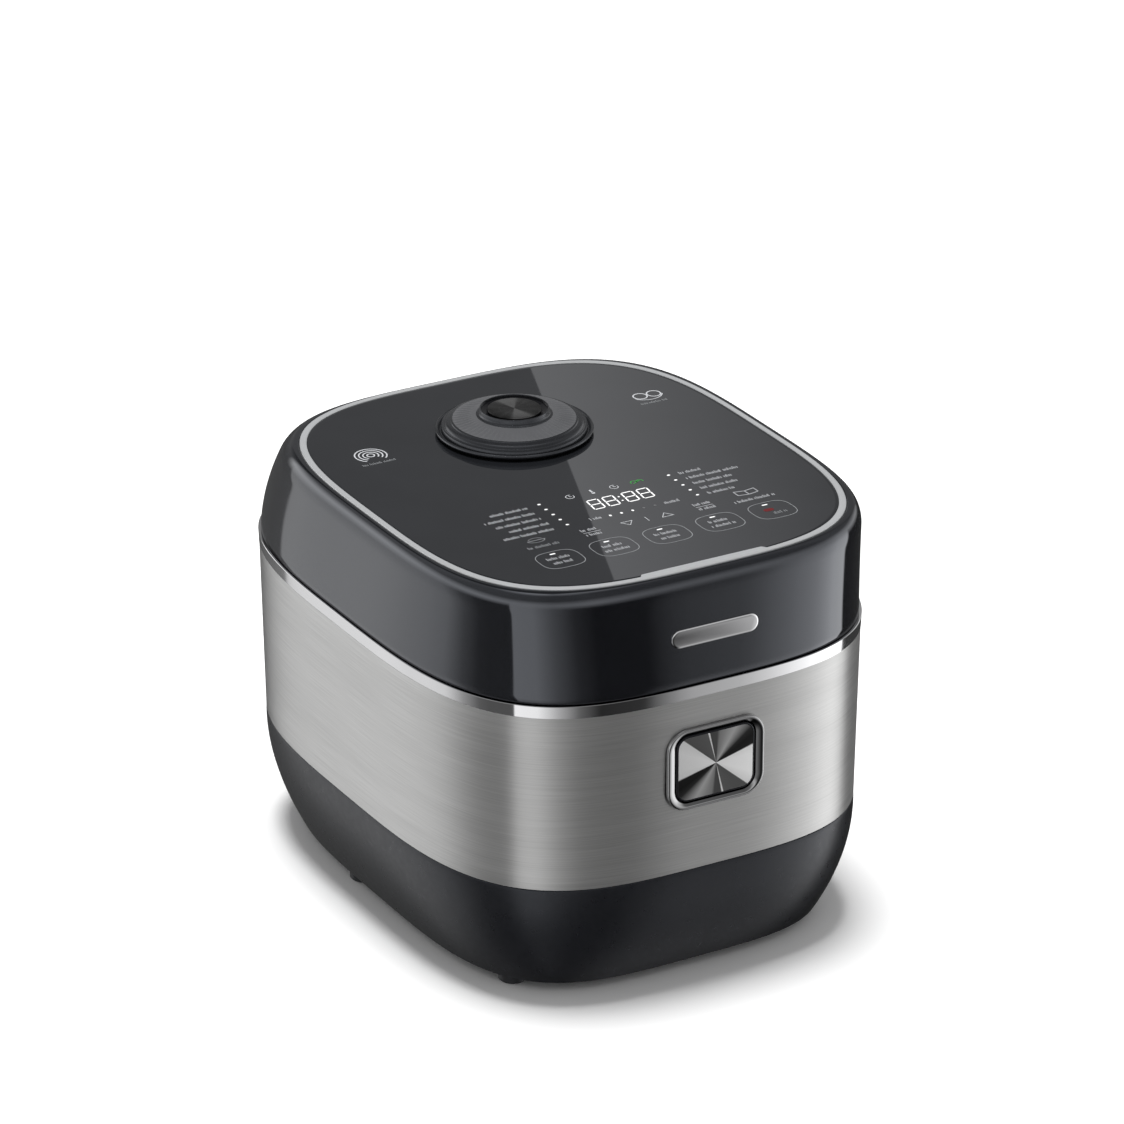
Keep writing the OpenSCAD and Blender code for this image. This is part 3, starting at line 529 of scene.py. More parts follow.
# ---- Body --------------------------------------------------------------------------------
def build_base():
    """Tapered plastic base, open to the inlet at the rear."""
    wall = 2.8
    steps = 26
    rings = [outline(inset(skirt_section(0), 0.9)), outline(inset(skirt_section(0), 0.35, -0.1)),
             outline(inset(skirt_section(0), 0.05, -0.45))]
    rings += [outline(skirt_section(0.01 + 0.985 * (i / steps))) for i in range(steps + 1)]
    foot = skirt_section(1.0)
    rings += [outline(inset(foot, 0.5, 0.05)), outline(inset(foot, wall - 0.5, 0.05)), outline(inset(foot, wall, 0.4))]
    rings += [outline(inset(skirt_section(t), wall)) for t in (0.8, 0.5, 0.25, 0.0)]
    piece = loft("base_skin", rings, "root", MATERIALS["base_plastic"], ("base_shell",))
    low, high = corners("mains_inlet")
    middle = (low + high) / 2
    rings = [front_ring(high.x - low.x + 0.8, high.z - low.z + 0.8, 3.4, y, middle.z) for y in (140, 190)]
    cut(piece, [[p + Vector((middle.x, 0, 0)) for p in ring] for ring in rings])


def build_wall():
    """Brushed wall with the opening for the button."""
    thickness = 0.8
    low, high = wall_at(skirt_z), wall_at(band_z)
    heights = [skirt_z + 0.5 + (band_z - skirt_z - 1.0) * i / 12 for i in range(13)]
    rings = [outline(inset(low, thickness)), outline(inset(low, 0.3)), outline(at_z(inset(low, 0.05), skirt_z + 0.2))]
    rings += [outline(wall_at(z)) for z in heights]
    rings += [outline(at_z(inset(high, 0.05), band_z - 0.2)), outline(inset(high, 0.3)),
              outline(inset(high, thickness))]
    piece = loft("steel_wall", rings, "root", MATERIALS["steel_wall"], ("steel_skin",))
    cut(piece, [front_ring(60, 47, 11.5, y, button_z) for y in (-200, -160)])


def build_band():
    """Bright band under the seam."""
    band = (half_w, half_d, SQUARENESS, 0.0, seam_z)
    profile = [(2.4, band_z), (0.5, band_z), (0.3, band_z + 0.15), (0.0, seam_z - 0.25), (0.2, seam_z), (2.4, seam_z)]
    rings = [outline(at_z(inset(band, d), z)) for d, z in profile]
    loft("chrome_trim_band", rings, "root", MATERIALS["chrome"], ("chrome_band",))


# ---- Lid ---------------------------------------------------------------------------------
def build_lid_shell():
    """Lid shell with the ring's pocket and room for the hinge."""
    wall = 2.5
    first = lid_low - seam_z
    heights = [first + 0.5 + (SHOULDER_H - first - 0.5) * i / 14 for i in range(15)]
    turns = 12
    heights += [SHOULDER_H + (rim_h - SHOULDER_H) * math.sin(math.radians(90 * i / turns)) for i in range(1, turns + 1)]
    pocket = inset(ring_section, -0.4)
    bottom = lid_section(first)
    rings = [outline(inset(bottom, 0.5)), outline(inset(bottom, 0.15, 0.12))]
    rings += [outline(lid_section(h)) for h in heights]
    rings += [outline(at_z(inset(pocket, -0.35), seam_z + rim_h)), outline(at_z(pocket, seam_z + rim_h - 0.3))]
    rings += [outline(at_z(pocket, ledge_z)), outline(at_z(inset(ring_section, 10), ledge_z)),
              outline(at_z(inset(ring_section, 10), ledge_z - 2))]
    rings += [outline(inset(lid_section(h), wall)) for h in (57, 50, 36, 18, first + 0.4)]
    rings += [outline(inset(bottom, wall - 0.4))]
    piece = loft("lid_skin", rings, "lid", MATERIALS["lid_gloss"], ("lid_shell",))
    half = 90
    clear = barrel_r + 4.4
    cut(piece, bar_rings(half, clear, hinge.y, hinge.z))
    cut(piece, box_rings((-half, hinge.y - clear, seam_z - 2), (half, 220, hinge.z)))
    cut(piece, box_rings((-half, hinge.y + 10, seam_z - 1), (half, 221, 222)))


def build_ring():
    """Silver ring round the top panel."""
    profile = [(0.0, ledge_z), (0.0, top_z - 0.8), (0.15, top_z - 0.35), (0.5, top_z - 0.08), (1.0, top_z),
               (RING_W - 1.0, top_z), (RING_W - 0.5, top_z - 0.05), (RING_W - 0.1, top_z - 0.3),
               (RING_W, top_z - 0.7), (RING_W, ledge_z)]
    rings = [outline(at_z(inset(ring_section, d), z)) for d, z in profile]
    loft("silver_ring", rings, "lid", MATERIALS["silver_trim"], ("trim_ring",))


TAB_HALF = 39.0
TAB_DEPTH = 2.9


def build_tab():
    """The ring widens into a slim tab at the middle of the front."""
    front = ring_section[3] - ring_section[1] + RING_W
    plan = [(-TAB_HALF - 3.4, front - 1.6), (TAB_HALF + 3.4, front - 1.6)]
    plan.append((TAB_HALF + 1.2, front + 0.9))
    plan += arc(TAB_HALF - 1.0, front + TAB_DEPTH - 1.4, 1.4, 30, 90, 4)
    plan += arc(-TAB_HALF + 1.0, front + TAB_DEPTH - 1.4, 1.4, 90, 150, 4)
    plan.append((-TAB_HALF - 1.2, front + 0.9))
    bm = bmesh.new()
    add_loft(bm, [[Vector((x, y, z)) for x, y in plan] for z in (panel_z - 3, top_z - 0.05)], False, True, True)
    finish_mesh("ring_tab", bm, "lid", MATERIALS["silver_trim"])


def build_panel():
    """Flat top panel with the hole of the steam cap."""
    panel = inset(ring_section, RING_W + 0.15)
    thickness = 3.0
    hole_r = 37.8
    rings = [outline(at_z(inset(panel, 4), ledge_z)), outline(at_z(panel, ledge_z)),
             outline(at_z(panel, panel_z - 0.35)), outline(at_z(inset(panel, 0.12), panel_z - 0.1)),
             outline(at_z(inset(panel, 0.4), panel_z)), outline(at_z(inset(panel, 1.6), panel_z))]
    lip = circle_ring(hole_r + 1.0, 0, cap_y, panel_z, SEGMENTS)
    hole = circle_ring(hole_r, 0, cap_y, panel_z, SEGMENTS)
    rings += [lip, hole, [p - Vector((0, 0, thickness)) for p in hole],
              outline(at_z(inset(panel, 4), panel_z - thickness))]
    loft("glossy_panel", rings, "lid", MATERIALS["panel_gloss"], ("top_panel",))


def build_name_plate():
    """Plain bright pill on the lid's front."""
    low, high = corners("name_plate")
    w, h = high.x - low.x, 11.0
    z = (low.z + high.z) / 2
    lean = math.atan(2.6 / SHOULDER_H)
    front = lid_section(z - seam_z)[3] - lid_section(z - seam_z)[1]
    rings = []
    for d, y in ((0.0, 0.0), (0.0, -0.55), (0.12, -0.85), (0.45, -1.05), (1.2, -1.12)):
        rings.append(front_ring(w - 2 * d, h - 2 * d, h / 2 - d - 0.01, y, 0.0))
    turn = Matrix.Rotation(-lean, 3, "X")
    rings = [[turn @ p + Vector((0, front + 0.1, z)) for p in ring] for ring in rings]
    loft("bright_name_plate", rings, "lid", MATERIALS["chrome"], ("name_plate",), wrap=False, caps=True)


# ---- Steam cap ---------------------------------------------------------------------------
def build_steam_cap():
    """Cap body with its skirt and collar, and the ribbed fan between them."""
    base = corners("steam_cap")[0].z
    skirt = [(31.0, base + 2.0), (31.0, base), (43.6, base), (45.0, base + 0.5), (46.1, base + 1.5),
             (46.3, base + 2.3), (46.0, base + 3.0), (45.3, base + 3.4), (44.6, base + 3.1), (44.0, base + 2.2),
             (43.5, base + 1.6), (43.1, base + 1.7), (42.9, base + 2.2), (42.8, base + 4.2), (42.5, base + 4.7),
             (41.9, base + 4.9), (41.4, base + 4.9), (41.2, base + 5.2)]
    shoulder = [(41.0, base + 5.3), (40.6, base + 6.2), (39.8, base + 6.9), (38.8, base + 7.3), (37.9, base + 7.4),
                (37.5, base + 7.5), (37.2, base + 8.0), (36.8, base + 8.25), (36.3, base + 8.3)]
    ribs = 60
    count = ribs * 8
    profile = skirt + shoulder
    rings = [circle_ring(r, 0, cap_y, z, count) for r, z in profile]
    inner_r, outer_r = 22.4, 36.2
    inner_z, outer_z = base + 11.0, base + 8.4
    fan = [circle_ring(inner_r, 0, cap_y, inner_z - 0.7, count), circle_ring(outer_r, 0, cap_y, outer_z - 0.7, count)]
    for k in range(13):
        f = k / 12
        r = outer_r + (inner_r - outer_r) * f
        z = outer_z + (inner_z - outer_z) * f
        depth = 0.42 * math.sin(math.pi * min(1.0, f / 0.8)) ** 0.6 if f < 0.8 else 0.0
        fan.append([Vector((r * math.cos(TURN * i / count), cap_y + r * math.sin(TURN * i / count),
                            z - depth * (0.5 - 0.5 * math.cos(TURN * i * ribs / count)))) for i in range(count)])
    rings += [circle_ring(outer_r, 0, cap_y, outer_z - 0.6, count),
              circle_ring(inner_r, 0, cap_y, inner_z - 0.6, count)]
    collar = [(22.2, base + 11.25), (21.8, base + 11.5), (21.3, base + 11.6), (20.9, base + 12.0), (20.6, base + 13.0),
              (20.4, base + 14.4), (20.2, base + 14.8), (19.9, base + 14.95), (19.6, base + 14.8), (19.5, base + 14.4),
              (19.5, base + 10.8), (1e-5, base + 10.8), (1e-5, base + 9.0), (28.0, base + 4.0)]
    rings += [circle_ring(r, 0, cap_y, z, count) for r, z in collar]
    loft("steam_cap_body", rings, "steam_valve", MATERIALS["cap_grey"], ("steam_cap",))
    loft("steam_cap_fan", fan, "steam_valve", MATERIALS["cap_fan"], ("steam_cap",))


def build_cap_insert():
    """Dark rim and turned disc in the cap's middle."""
    low, high = corners("cap_insert")
    rim = [(1e-5, low.z), (19.4, low.z), (19.4, high.z - 1.2), (16.2, high.z - 2.0), (16.0, high.z - 2.4),
           (1e-5, high.z - 2.4)]
    lathe("cap_insert_rim", rim, (0, cap_y), "steam_valve", MATERIALS["cap_black"], ("cap_insert",))
    disc = [(1e-5, high.z - 2.4), (15.8, high.z - 2.4), (15.8, high.z - 0.35), (15.6, high.z - 0.1), (15.1, high.z),
            (8.0, high.z - 0.05), (1e-5, high.z - 0.1)]
    # The disc's base colour is a painted reflection: light and dark wedges round its centre.
    lathe("cap_insert_disc", disc, (0, cap_y), "steam_valve", MATERIALS["spun_metal"], ("cap_insert",))


# ---- Open button -------------------------------------------------------------------------
def build_bezel():
    """Flared frame round the button."""
    low, high = corners("button_bezel")
    w, h = high.x - low.x, high.z - low.z
    back = bezel_front + 1.9
    sleeve_back = corners("button_guide")[0].y
    open_w, open_h = w - 10, h - 7
    flare = [(0.0, back), (0.0, bezel_front + 0.9), (0.12, bezel_front + 0.45), (0.45, bezel_front + 0.12),
             (1.0, bezel_front), (1.6, bezel_front + 0.05)]
    rings = [front_ring(w - 2 * d, h - 2 * d, 13 - d, y, button_z) for d, y in flare]
    slope = 6
    for k in range(1, slope + 1):
        f = k / slope
        d = f * f * 0.15 + f * 0.85
        y = bezel_front + 0.05 + 1.25 * f ** 1.6
        rings.append(front_ring(w - 3.2 + (open_w - w + 3.2) * d, h - 3.2 + (open_h - h + 3.2) * d,
                                11.4 - 2.4 * d, y, button_z))
    rings += [front_ring(open_w, open_h, 9, bezel_front + 2.2, button_z),
              front_ring(open_w, open_h, 9, sleeve_back, button_z),
              front_ring(w - 4, h - 4, 11, sleeve_back, button_z), front_ring(w - 4, h - 4, 11, back, button_z)]
    loft("chrome_bezel", rings, "root", MATERIALS["bezel_chrome"], ("button_bezel",))


def build_button():
    """Button body, its dished turned face and its plunger."""
    low, high = corners("open_button")
    w, h = high.x - low.x, 41.0
    front = low.y
    body_back = corners("button_guide")[0].y - 3.4
    rings = [front_ring(w - 2 * d, h - 2 * d, 8 - d, y, button_z)
             for d, y in ((0.0, body_back), (0.0, front + 1.1), (0.1, front + 0.75), (0.4, front + 0.45),
                          (0.9, front + 0.35), (1.3, front + 0.45))]
    loft("button_body", rings, "button", MATERIALS["cap_black"], ("open_button",), wrap=False, caps=True)
    face = [front_ring((w - 2.6) * s, (h - 2.6) * s, 6.7 * s, front + 0.4 - 0.35 * (1 - s * s), button_z)
            for s in (1.0, 0.96, 0.85, 0.7, 0.5, 0.3, 0.1, 1e-5)]
    back = [front_ring((w - 2.6) * s, (h - 2.6) * s, 6.7 * s, front + 0.75, button_z) for s in (1e-5, 1.0)]
    # The face's base colour is a painted reflection: light and dark wedges round its centre.
    loft("button_face", back + face, "button", MATERIALS["spun_button"], ("open_button",), wrap=False)
    rod = [front_ring(10, 8, 1, y, button_z, 3) for y in (body_back, high.y)]
    loft("button_plunger", rod, "button", MATERIALS["inner_plastic"], ("open_button",), wrap=False,
         caps=True)


# ---- Print on the panel ------------------------------------------------------------------
PRINT_LIFT = 0.06


class Print:
    """Collects flat printed marks of one ink on the panel."""

    def __init__(self, name, ink):
        self.name, self.ink = name, ink
        self.bm = bmesh.new()

    def shape(self, points):
        low = [self.bm.verts.new((x, y, panel_z + 0.01)) for x, y in points]
        high = [self.bm.verts.new((x, y, panel_z + PRINT_LIFT)) for x, y in points]
        count = len(points)
        for i in range(count):
            j = (i + 1) % count
            self.bm.faces.new((low[i], low[j], high[j], high[i]))
        self.bm.faces.new(low)
        self.bm.faces.new(high)

    def band(self, outer, inner):
        """Closed line between two outlines with the same number of points."""
        rings = [[Vector((x, y, z)) for x, y in loop]
                 for loop, z in ((outer, panel_z + 0.01), (outer, panel_z + PRINT_LIFT),
                                 (inner, panel_z + PRINT_LIFT), (inner, panel_z + 0.01))]
        add_loft(self.bm, rings, True)

    def line(self, start, end, width):
        a, b = Vector(start), Vector(end)
        side = (b - a).normalized().orthogonal() * width / 2
        self.shape([tuple(p) for p in (a - side, b - side, b + side, a + side)])

    def box(self, x, y, w, h):
        self.shape([(x - w / 2, y - h / 2), (x + w / 2, y - h / 2), (x + w / 2, y + h / 2), (x - w / 2, y + h / 2)])

    def dash(self, x, y, w, h):
        self.shape([(x + u, y + v) for u, v in rounded_rect(w, h, min(w, h) / 2 - 0.01, 4)])

    def circle(self, x, y, r, width):
        self.band([(x + u, y + v) for u, v in arc(0, 0, r + width / 2, 0, 354, 59)],
                  [(x + u, y + v) for u, v in arc(0, 0, r - width / 2, 0, 354, 59)])

    def arc_line(self, x, y, r, start, end, width, squash=1.0):
        outer = [(x + u, y + v * squash) for u, v in arc(0, 0, r + width / 2, start, end, 24)]
        inner = [(x + u, y + v * squash) for u, v in arc(0, 0, r - width / 2, start, end, 24)]
        self.shape(outer + inner[::-1])

    def polygon_line(self, points, width):
        """Closed outline drawn with a constant width, mitred at its corners."""
        count = len(points)
        loops = []
        for side in (0.5, -0.5):
            loop = []
            for i in range(count):
                before, here, after = (Vector(points[(i + k) % count]) for k in (-1, 0, 1))
                n1 = Vector((here.y - before.y, before.x - here.x)).normalized()
                n2 = Vector((after.y - here.y, here.x - after.x)).normalized()
                mitre = (n1 + n2).normalized()
                loop.append(tuple(here + mitre * side * width / max(0.3, mitre.dot(n1))))
            loops.append(loop)
        self.band(loops[0], loops[1])

    def greeked(self, x, y, length, align="centre", size=1.0):
        """A row of thin upright ticks that reads as small print from afar, with no letter in it."""
        start = {"left": x, "right": x - length, "centre": x - length / 2}[align]
        at = 0.0
        k = int(abs(x * 7 + y * 3))
        while at < length:
            tall = (2.3, 2.3, 3.2, 2.3, 2.3, 2.3, 3.2)[k % 7] * size
            self.box(start + at, y + (tall - 2.3 * size) / 2, 0.36 * size, tall)
            at += ((1.15, 0.95, 1.3, 1.05)[k % 4] + (1.1 if k % 9 == 0 else 0.0)) * size
            k += 1

    def done(self):
        finish_mesh(self.name, self.bm, "lid", self.ink, smooth=20)


DIGIT_Y = -67.5
DIGIT_W = 6.9
DIGIT_H = 12.6
KEY_Y = -123.6
KEY_XS = [-66.8 + 34.5 * i for i in range(5)]
LIST_YS = [-52.0 - 8.1 * i for i in range(5)]


def key_outline(x, y, w, h):
    """Softly squared key outline."""
    points = []
    for i in range(96):
        t = TURN * i / 96
        points.append((x + w / 2 * signed_pow(math.cos(t), 0.62), y + h / 2 * signed_pow(math.sin(t), 0.62)))
    return points


def segment(pen, x, y, length, width, upright, slant):
    """One bar of a seven-bar digit, pointed at both ends."""
    half, tip = length / 2, width / 2
    bar = [(-half, 0), (-half + tip, -tip), (half - tip, -tip), (half, 0), (half - tip, tip), (-half + tip, tip)]
    points = []
    for u, v in bar:
        px, py = (v, u) if upright else (u, v)
        points.append((x + px + slant * (y + py - DIGIT_Y), y + py))
    pen.shape(points if not upright else points[::-1])


def print_display(pen):
    """Four seven-bar digits and a colon."""
    width, slant = 0.85, 0.12
    for x in (-11.7, -1.8, 10.8, 20.7):
        for row in (-1, 0, 1):
            segment(pen, x, DIGIT_Y + row * DIGIT_H / 2, DIGIT_W - 0.5, width, False, slant)
        for side in (-1, 1):
            for row in (-1, 1):
                segment(pen, x + side * DIGIT_W / 2, DIGIT_Y + row * DIGIT_H / 4, DIGIT_H / 2 - 0.5, width, True, slant)
    for row in (-1, 1):
        pen.dash(4.5 + slant * row * 2.8, DIGIT_Y + row * 2.8, 1.3, 1.3)


def build_print():
    """Keys, lists and marks on the panel, one piece for each ink."""
    white = Print("panel_print", INK_WHITE)
    bright = Print("panel_lit_marks", INK_BRIGHT)
    grey = Print("panel_small_print", INK_GREY)
    faint = Print("panel_unlit_marks", INK_FAINT)
    green = Print("panel_green_mark", INK_GREEN)
    red = Print("panel_red_mark", INK_RED)
    print_display(bright)
    for i, x in enumerate(KEY_XS):
        grey.band(key_outline(x, KEY_Y, 26.3, 22.7), key_outline(x, KEY_Y, 25.6, 22.0))
        bright.dash(x - 0.5, KEY_Y + 8.0, 3.6, 1.1)
        if i < 4:
            white.greeked(x, KEY_Y + 2.0, 14 - 2 * (i % 2))
            white.greeked(x, KEY_Y - 4.2, 12 + 3 * (i % 2))
        else:
            red.dash(x - 2.0, KEY_Y + 1.0, 6.5, 3.6)
            grey.greeked(x + 2.5, KEY_Y - 4.6, 8)
    for y, left, right in zip(LIST_YS, (24, 32, 29, 25, 33), (15, 34, 25, 24, 17)):
        bright.dash(-40, y, 2.0, 1.5)
        white.greeked(-48.2, y - 1.5, left, "right")
        bright.dash(45.2, y, 2.0, 1.5)
        white.greeked(52.0, y - 1.0, right, "left")
    for i in range(5):
        pen = bright if i < 3 else faint
        pen.dash(-12.6 + 7.3 * i, -85.3, 1.5, 1.9)
    white.greeked(-21.5, -85.0, 7.5)
    white.greeked(27.5, -85.6, 9.0)
    for x, tip in ((-9.2, -1), (15.4, 1)):
        corners_at = [(x - 3.6, -99.6 - tip * 2.4), (x + 3.6, -99.6 - tip * 2.4), (x, -99.6 + tip * 2.6)]
        white.polygon_line(corners_at[::tip], 0.4)
    white.line((2.9, -102.4), (3.1, -96.6), 0.4)
    for x in (-33.0, 40.4):
        white.greeked(x, -96.6, 10)
        white.box(x, -99.9, 11, 0.3)
        white.greeked(x, -103.2, 10)
    print_icons(white, grey, green)
    for pen in (white, bright, grey, faint, green, red):
        pen.done()


def print_icons(white, grey, green):
    """Small plain pictograms: clocks, a thermometer, a leaf pair, a bowl, a book and heating rings."""
    for x in (-19.4, 9.5):
        white.arc_line(x, -51.2, 2.5, 60, 380, 0.45)
        white.line((x, -51.2), (x, -49.4), 0.4)
        white.line((x, -51.2), (x + 1.2, -51.2), 0.4)
    white.dash(-5.0, -50.4, 1.2, 4.6)
    white.dash(-5.0, -52.9, 2.2, 2.2)
    for side in (-1, 1):
        green.arc_line(24.6 + side * 1.9, -51.2, 2.0, 90 - side * 110, 90 + side * 110, 0.7)
    green.line((21.6, -52.8), (27.6, -49.6), 0.6)
    grey.arc_line(-66.0, -94.6, 5.4, 180, 360, 0.4, 0.55)
    grey.line((-71.6, -94.6), (-60.4, -94.6), 0.4)
    grey.arc_line(-66.0, -94.2, 4.4, 20, 160, 0.4, 0.6)
    grey.greeked(-66.0, -103.4, 19)
    book = [(64.6, -91.6), (71.2, -92.8), (77.8, -91.6), (77.8, -97.0), (71.2, -98.2), (64.6, -97.0)]
    white.polygon_line(book, 0.4)
    white.line((71.2, -98.0), (71.2, -92.8), 0.4)
    white.greeked(70.8, -105.0, 26)
    white.circle(-89.5, 58.0, 2.2, 0.8)
    for r in (4.6, 7.0, 9.4):
        white.arc_line(-89.5, 58.0, r, -50, 230, 0.8)
    grey.greeked(-90.0, 46.0, 21.0, size=0.8)
    for side in (-1, 1):
        white.circle(95.4 + side * 4.6, 58.0, 4.2, 0.8)
    white.arc_line(95.4, 58.6, 9.8, 200, 340, 0.7, 0.8)
    grey.greeked(94.0, 46.6, 17.0, size=0.8)


# ---- Inside, seen with the lid open --------------------------------------------------------
def build_water_marks():
    """Plain level lines on the pot's inner wall."""
    low, high = corners("inner_pot")
    cx, cy = (low.x + high.x) / 2, (low.y + high.y) / 2
    pot_r, proud, mark_h = 109.0, 0.03, 0.7
    r = pot_r - proud
    bm = bmesh.new()
    for side in (50, 130):
        for i in range(9):
            z = 82 + 9.5 * i
            span = 7 if i % 2 else 11
            points = []
            for k in range(9):
                a = math.radians(side - span / 2 + span * k / 8)
                points.append((cx + r * math.cos(a), cy + r * math.sin(a)))
            low_row = [bm.verts.new((x, y, z)) for x, y in points]
            high_row = [bm.verts.new((x, y, z + mark_h)) for x, y in points]
            inner_low = [bm.verts.new((cx + (x - cx) * 0.9995, cy + (y - cy) * 0.9995, z)) for x, y in points]
            inner_high = [bm.verts.new((cx + (x - cx) * 0.9995, cy + (y - cy) * 0.9995, z + mark_h))
                          for x, y in points]
            for k in range(8):
                bm.faces.new((inner_low[k], inner_low[k + 1], inner_high[k + 1], inner_high[k]))
                bm.faces.new((low_row[k], high_row[k], high_row[k + 1], low_row[k + 1]))
                bm.faces.new((low_row[k], low_row[k + 1], inner_low[k + 1], inner_low[k]))
                bm.faces.new((high_row[k], inner_high[k], inner_high[k + 1], high_row[k + 1]))
            bm.faces.new((low_row[0], inner_low[0], inner_high[0], high_row[0]))
            bm.faces.new((low_row[8], high_row[8], inner_high[8], inner_low[8]))
    finish_mesh("pot_level_marks", bm, "root", INK_GREY)


# ---- Studio ------------------------------------------------------------------------------
# Brightness round the horizon that glossy surfaces see: (bearing in degrees from +X, level).
SOFT_PANELS = [(-180, 0.11), (-161, 0.11), (-158.2, 0.16), (-157.8, 1.28), (-137, 1.2), (-119, 0.58), (-102, 0.16),
               (-88, 0.03), (-67, 0.04), (-61, 0.28), (-54, 0.8), (-45, 1.2), (-35, 1.5), (-18, 2.25), (-3.0, 2.1),
               (-2.5, 0.05), (60.0, 0.05), (98.0, 0.18), (106.0, 0.24), (106.4, 0.8), (112, 0.93), (120, 1.0),
               (128, 0.95), (137, 0.95), (147, 0.88), (159, 0.38), (171, 0.14), (180, 0.11)]
# The same for the room above them.
ROOM_ABOVE = [(-180, 1.45), (-158, 1.35), (-137, 1.3), (-119, 1.0), (-102, 1.05), (-88, 1.15), (-65, 0.85),
              (-52, 0.9), (-30, 1.1), (-15, 1.5), (25, 1.0), (40, 0.25), (97, 0.25), (104, 1.7), (125, 1.85),
              (147, 1.5), (180, 1.45)]
PANEL_TOP = 2.5


def around(tree, place, reflection_levels):
    """Brightness by bearing, from a list of (bearing in degrees, brightness)."""
    ramp = tree.nodes.new("ShaderNodeValToRGB")
    elements = ramp.color_ramp.elements
    while len(elements) < len(reflection_levels):
        elements.new(0.5)
    for element, (angle, level) in zip(elements, reflection_levels):
        element.position = angle / 360 + 0.5
        element.color = (level / PANEL_TOP,) * 3 + (1.0,)
    tree.links.new(place, ramp.inputs["Fac"])
    return math_node(tree, "MULTIPLY", ramp.outputs["Color"], PANEL_TOP)


def rise(tree, height, low, high, start, end):
    """Changes from start to end between two heights in degrees."""
    node = tree.nodes.new("ShaderNodeMapRange")
    node.inputs["From Min"].default_value = math.radians(low)
    node.inputs["From Max"].default_value = math.radians(high)
    node.inputs["To Min"].default_value = start
    node.inputs["To Max"].default_value = end
    tree.links.new(height, node.inputs["Value"])
    return node.outputs["Result"]


def math_node(tree, operation, first, second=None, third=None):
    """One step of arithmetic on numbers or sockets."""
    node = tree.nodes.new("ShaderNodeMath")
    node.operation = operation
    for socket, value in zip(node.inputs, (first, second, third)):
        if value is None:
            continue
        if isinstance(value, (int, float)):
            socket.default_value = value
        else:
            tree.links.new(value, socket)
    return node.outputs[0]


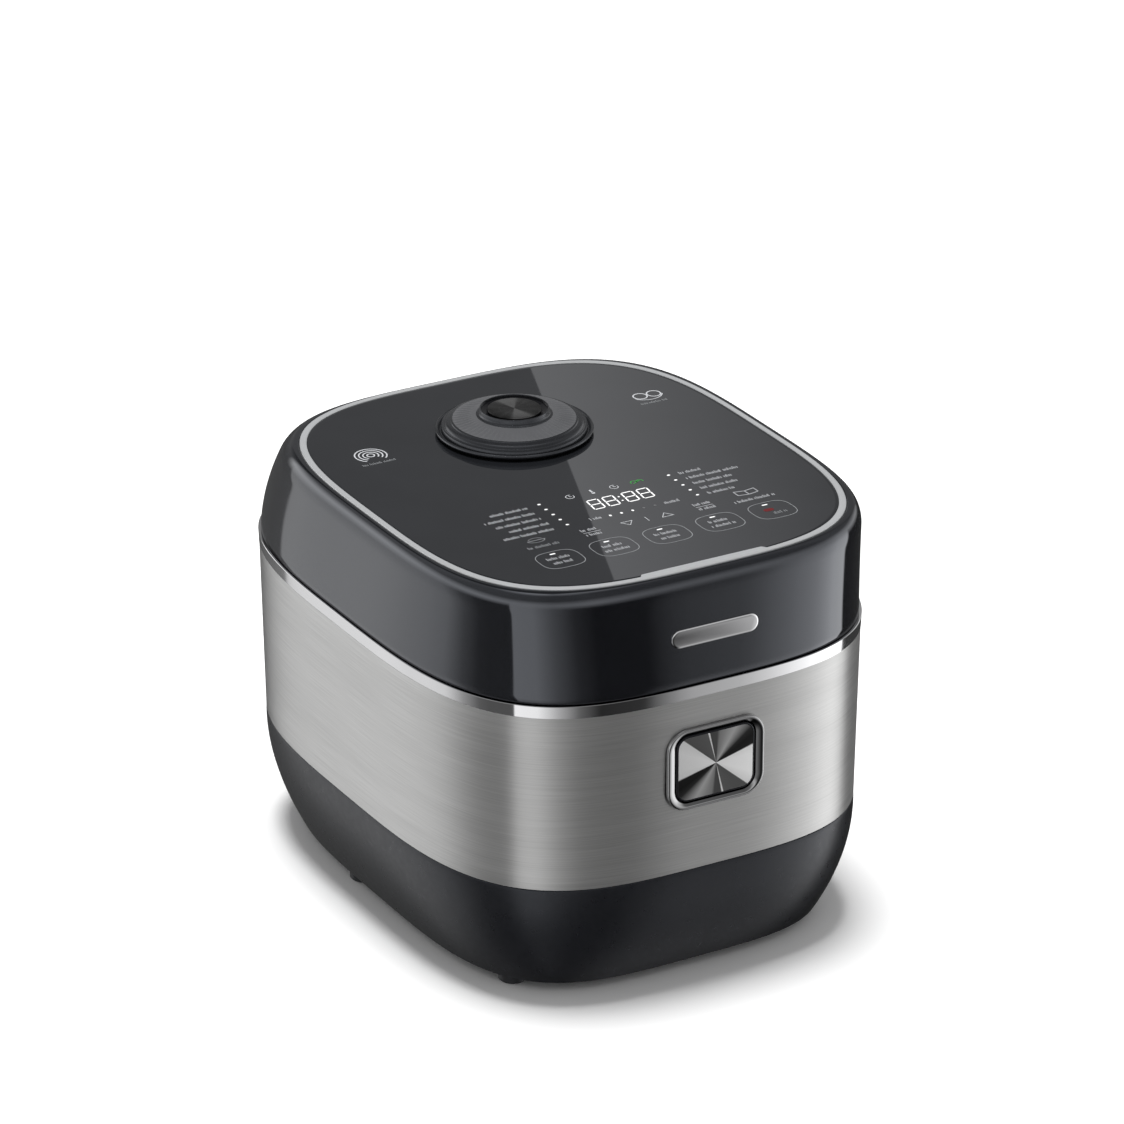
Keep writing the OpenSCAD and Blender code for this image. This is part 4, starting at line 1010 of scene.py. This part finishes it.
def build_world():
    """White for the camera and for soft fill; soft panels round the object for its reflections."""
    world = bpy.data.worlds.new("studio")
    scene.world = world
    world.use_nodes = True
    tree = world.node_tree
    tree.nodes.clear()
    coords = tree.nodes.new("ShaderNodeTexCoord")
    parts = tree.nodes.new("ShaderNodeSeparateXYZ")
    tree.links.new(coords.outputs["Generated"], parts.inputs["Vector"])
    bearing = math_node(tree, "ARCTAN2", parts.outputs["Y"], parts.outputs["X"])
    place = math_node(tree, "MULTIPLY_ADD", bearing, 1 / TURN, 0.5)
    height = math_node(tree, "ARCSINE", parts.outputs["Z"])
    horizon = math_node(tree, "MULTIPLY", around(tree, place, SOFT_PANELS), rise(tree, height, -54, -32, 0.2, 1.0))
    # Above the horizon: a pale room, with a card behind the object whose edge leans.
    edge_bearing, edge_height, edge_slant = 60.3, 23.07, 0.43
    lean = math_node(tree, "MULTIPLY_ADD", height, edge_slant, math.radians(-edge_bearing - edge_slant * edge_height))
    past_edge = math_node(tree, "ADD", bearing, lean)
    beyond = math_node(tree, "GREATER_THAN", past_edge, 0.0)
    fade = math_node(tree, "MULTIPLY_ADD", past_edge, 9.0, 0.76)
    card = math_node(tree, "MAXIMUM", fade, 0.22)
    behind = tree.nodes.new("ShaderNodeMix")
    tree.links.new(beyond, behind.inputs["Factor"])
    tree.links.new(card, behind.inputs["A"])
    behind.inputs["B"].default_value = 0.25
    dim = math_node(tree, "MULTIPLY", rise(tree, height, 9, 26, 1.0, 0.24), rise(tree, height, 62, 80, 1.0, 4.0))
    room = math_node(tree, "MULTIPLY", around(tree, place, ROOM_ABOVE), dim)
    off_centre = math_node(tree, "ABSOLUTE", math_node(tree, "SUBTRACT", bearing, math.radians(60)))
    near = math_node(tree, "LESS_THAN", off_centre, math.radians(25))
    low_enough = math_node(tree, "LESS_THAN", height, math.radians(34))
    above = tree.nodes.new("ShaderNodeMix")
    tree.links.new(math_node(tree, "MULTIPLY", near, low_enough), above.inputs["Factor"])
    tree.links.new(room, above.inputs["A"])
    tree.links.new(behind.outputs["Result"], above.inputs["B"])
    gloss_level = tree.nodes.new("ShaderNodeMix")
    tree.links.new(rise(tree, height, -6, 6, 0.0, 1.0), gloss_level.inputs["Factor"])
    tree.links.new(horizon, gloss_level.inputs["A"])
    tree.links.new(above.outputs["Result"], gloss_level.inputs["B"])
    glossy = tree.nodes.new("ShaderNodeBackground")
    tree.links.new(gloss_level.outputs["Result"], glossy.inputs["Color"])
    plain = tree.nodes.new("ShaderNodeBackground")
    plain.inputs["Color"].default_value = (0.52, 0.52, 0.52, 1.0)
    path = tree.nodes.new("ShaderNodeLightPath")
    pick = tree.nodes.new("ShaderNodeMixShader")
    tree.links.new(path.outputs["Is Glossy Ray"], pick.inputs["Fac"])
    tree.links.new(plain.outputs["Background"], pick.inputs[1])
    tree.links.new(glossy.outputs["Background"], pick.inputs[2])
    backdrop = tree.nodes.new("ShaderNodeBackground")
    backdrop.inputs["Color"].default_value = (1.0, 1.0, 1.0, 1.0)
    seen = tree.nodes.new("ShaderNodeMixShader")
    tree.links.new(path.outputs["Is Camera Ray"], seen.inputs["Fac"])
    tree.links.new(pick.outputs["Shader"], seen.inputs[1])
    tree.links.new(backdrop.outputs["Background"], seen.inputs[2])
    output = tree.nodes.new("ShaderNodeOutputWorld")
    tree.links.new(seen.outputs["Shader"], output.inputs["Surface"])


def build_floor():
    """White floor that only catches the shadow."""
    m = Nodes("floor_white")
    m.set(Roughness=0.9, Specular_IOR_Level=0.0)
    m.color(m.noise(3.0), (0.93, 0.93, 0.93), (0.95, 0.95, 0.95))
    bm = bmesh.new()
    bmesh.ops.create_grid(bm, x_segments=1, y_segments=1, size=12.0)
    mesh = bpy.data.meshes.new("floor")
    bm.to_mesh(mesh)
    bm.free()
    mesh.materials.append(m.material)
    floor = bpy.data.objects.new("floor", mesh)
    scene.collection.objects.link(floor)
    floor.location.z = -0.0002
    floor.visible_glossy = False


def build_light():
    """Soft overhead light from a wide source."""
    light = bpy.data.lights.new("overhead", "SUN")
    light.angle = math.radians(20)
    light.energy = 3.3
    lamp = bpy.data.objects.new("overhead", light)
    scene.collection.objects.link(lamp)
    lamp.rotation_euler = Vector((0.02, -0.09, -1.0)).to_track_quat("-Z", "Y").to_euler()
    lamp.visible_glossy = False


def build_camera():
    """A long lens from the front left, looking down at about 24 degrees."""
    place = Vector((-1.49874, -2.64007, 1.55159))
    target = Vector((-0.03714, -0.0733, 0.22875))
    camera = bpy.data.cameras.new("camera")
    camera.sensor_width = 36.0
    camera.lens = 183.3
    camera.clip_end = 60.0
    eye = bpy.data.objects.new("camera", camera)
    scene.collection.objects.link(eye)
    eye.location = place
    eye.rotation_euler = (target - place).to_track_quat("-Z", "Y").to_euler()
    scene.camera = eye


def main():
    dress_cad_nodes()
    build_base()
    build_wall()
    build_band()
    build_lid_shell()
    build_ring()
    build_tab()
    build_panel()
    build_name_plate()
    build_steam_cap()
    build_cap_insert()
    build_bezel()
    build_button()
    build_print()
    build_water_marks()
    build_world()
    build_floor()
    build_light()
    build_camera()
    scene.view_settings.view_transform = "Standard"


main()
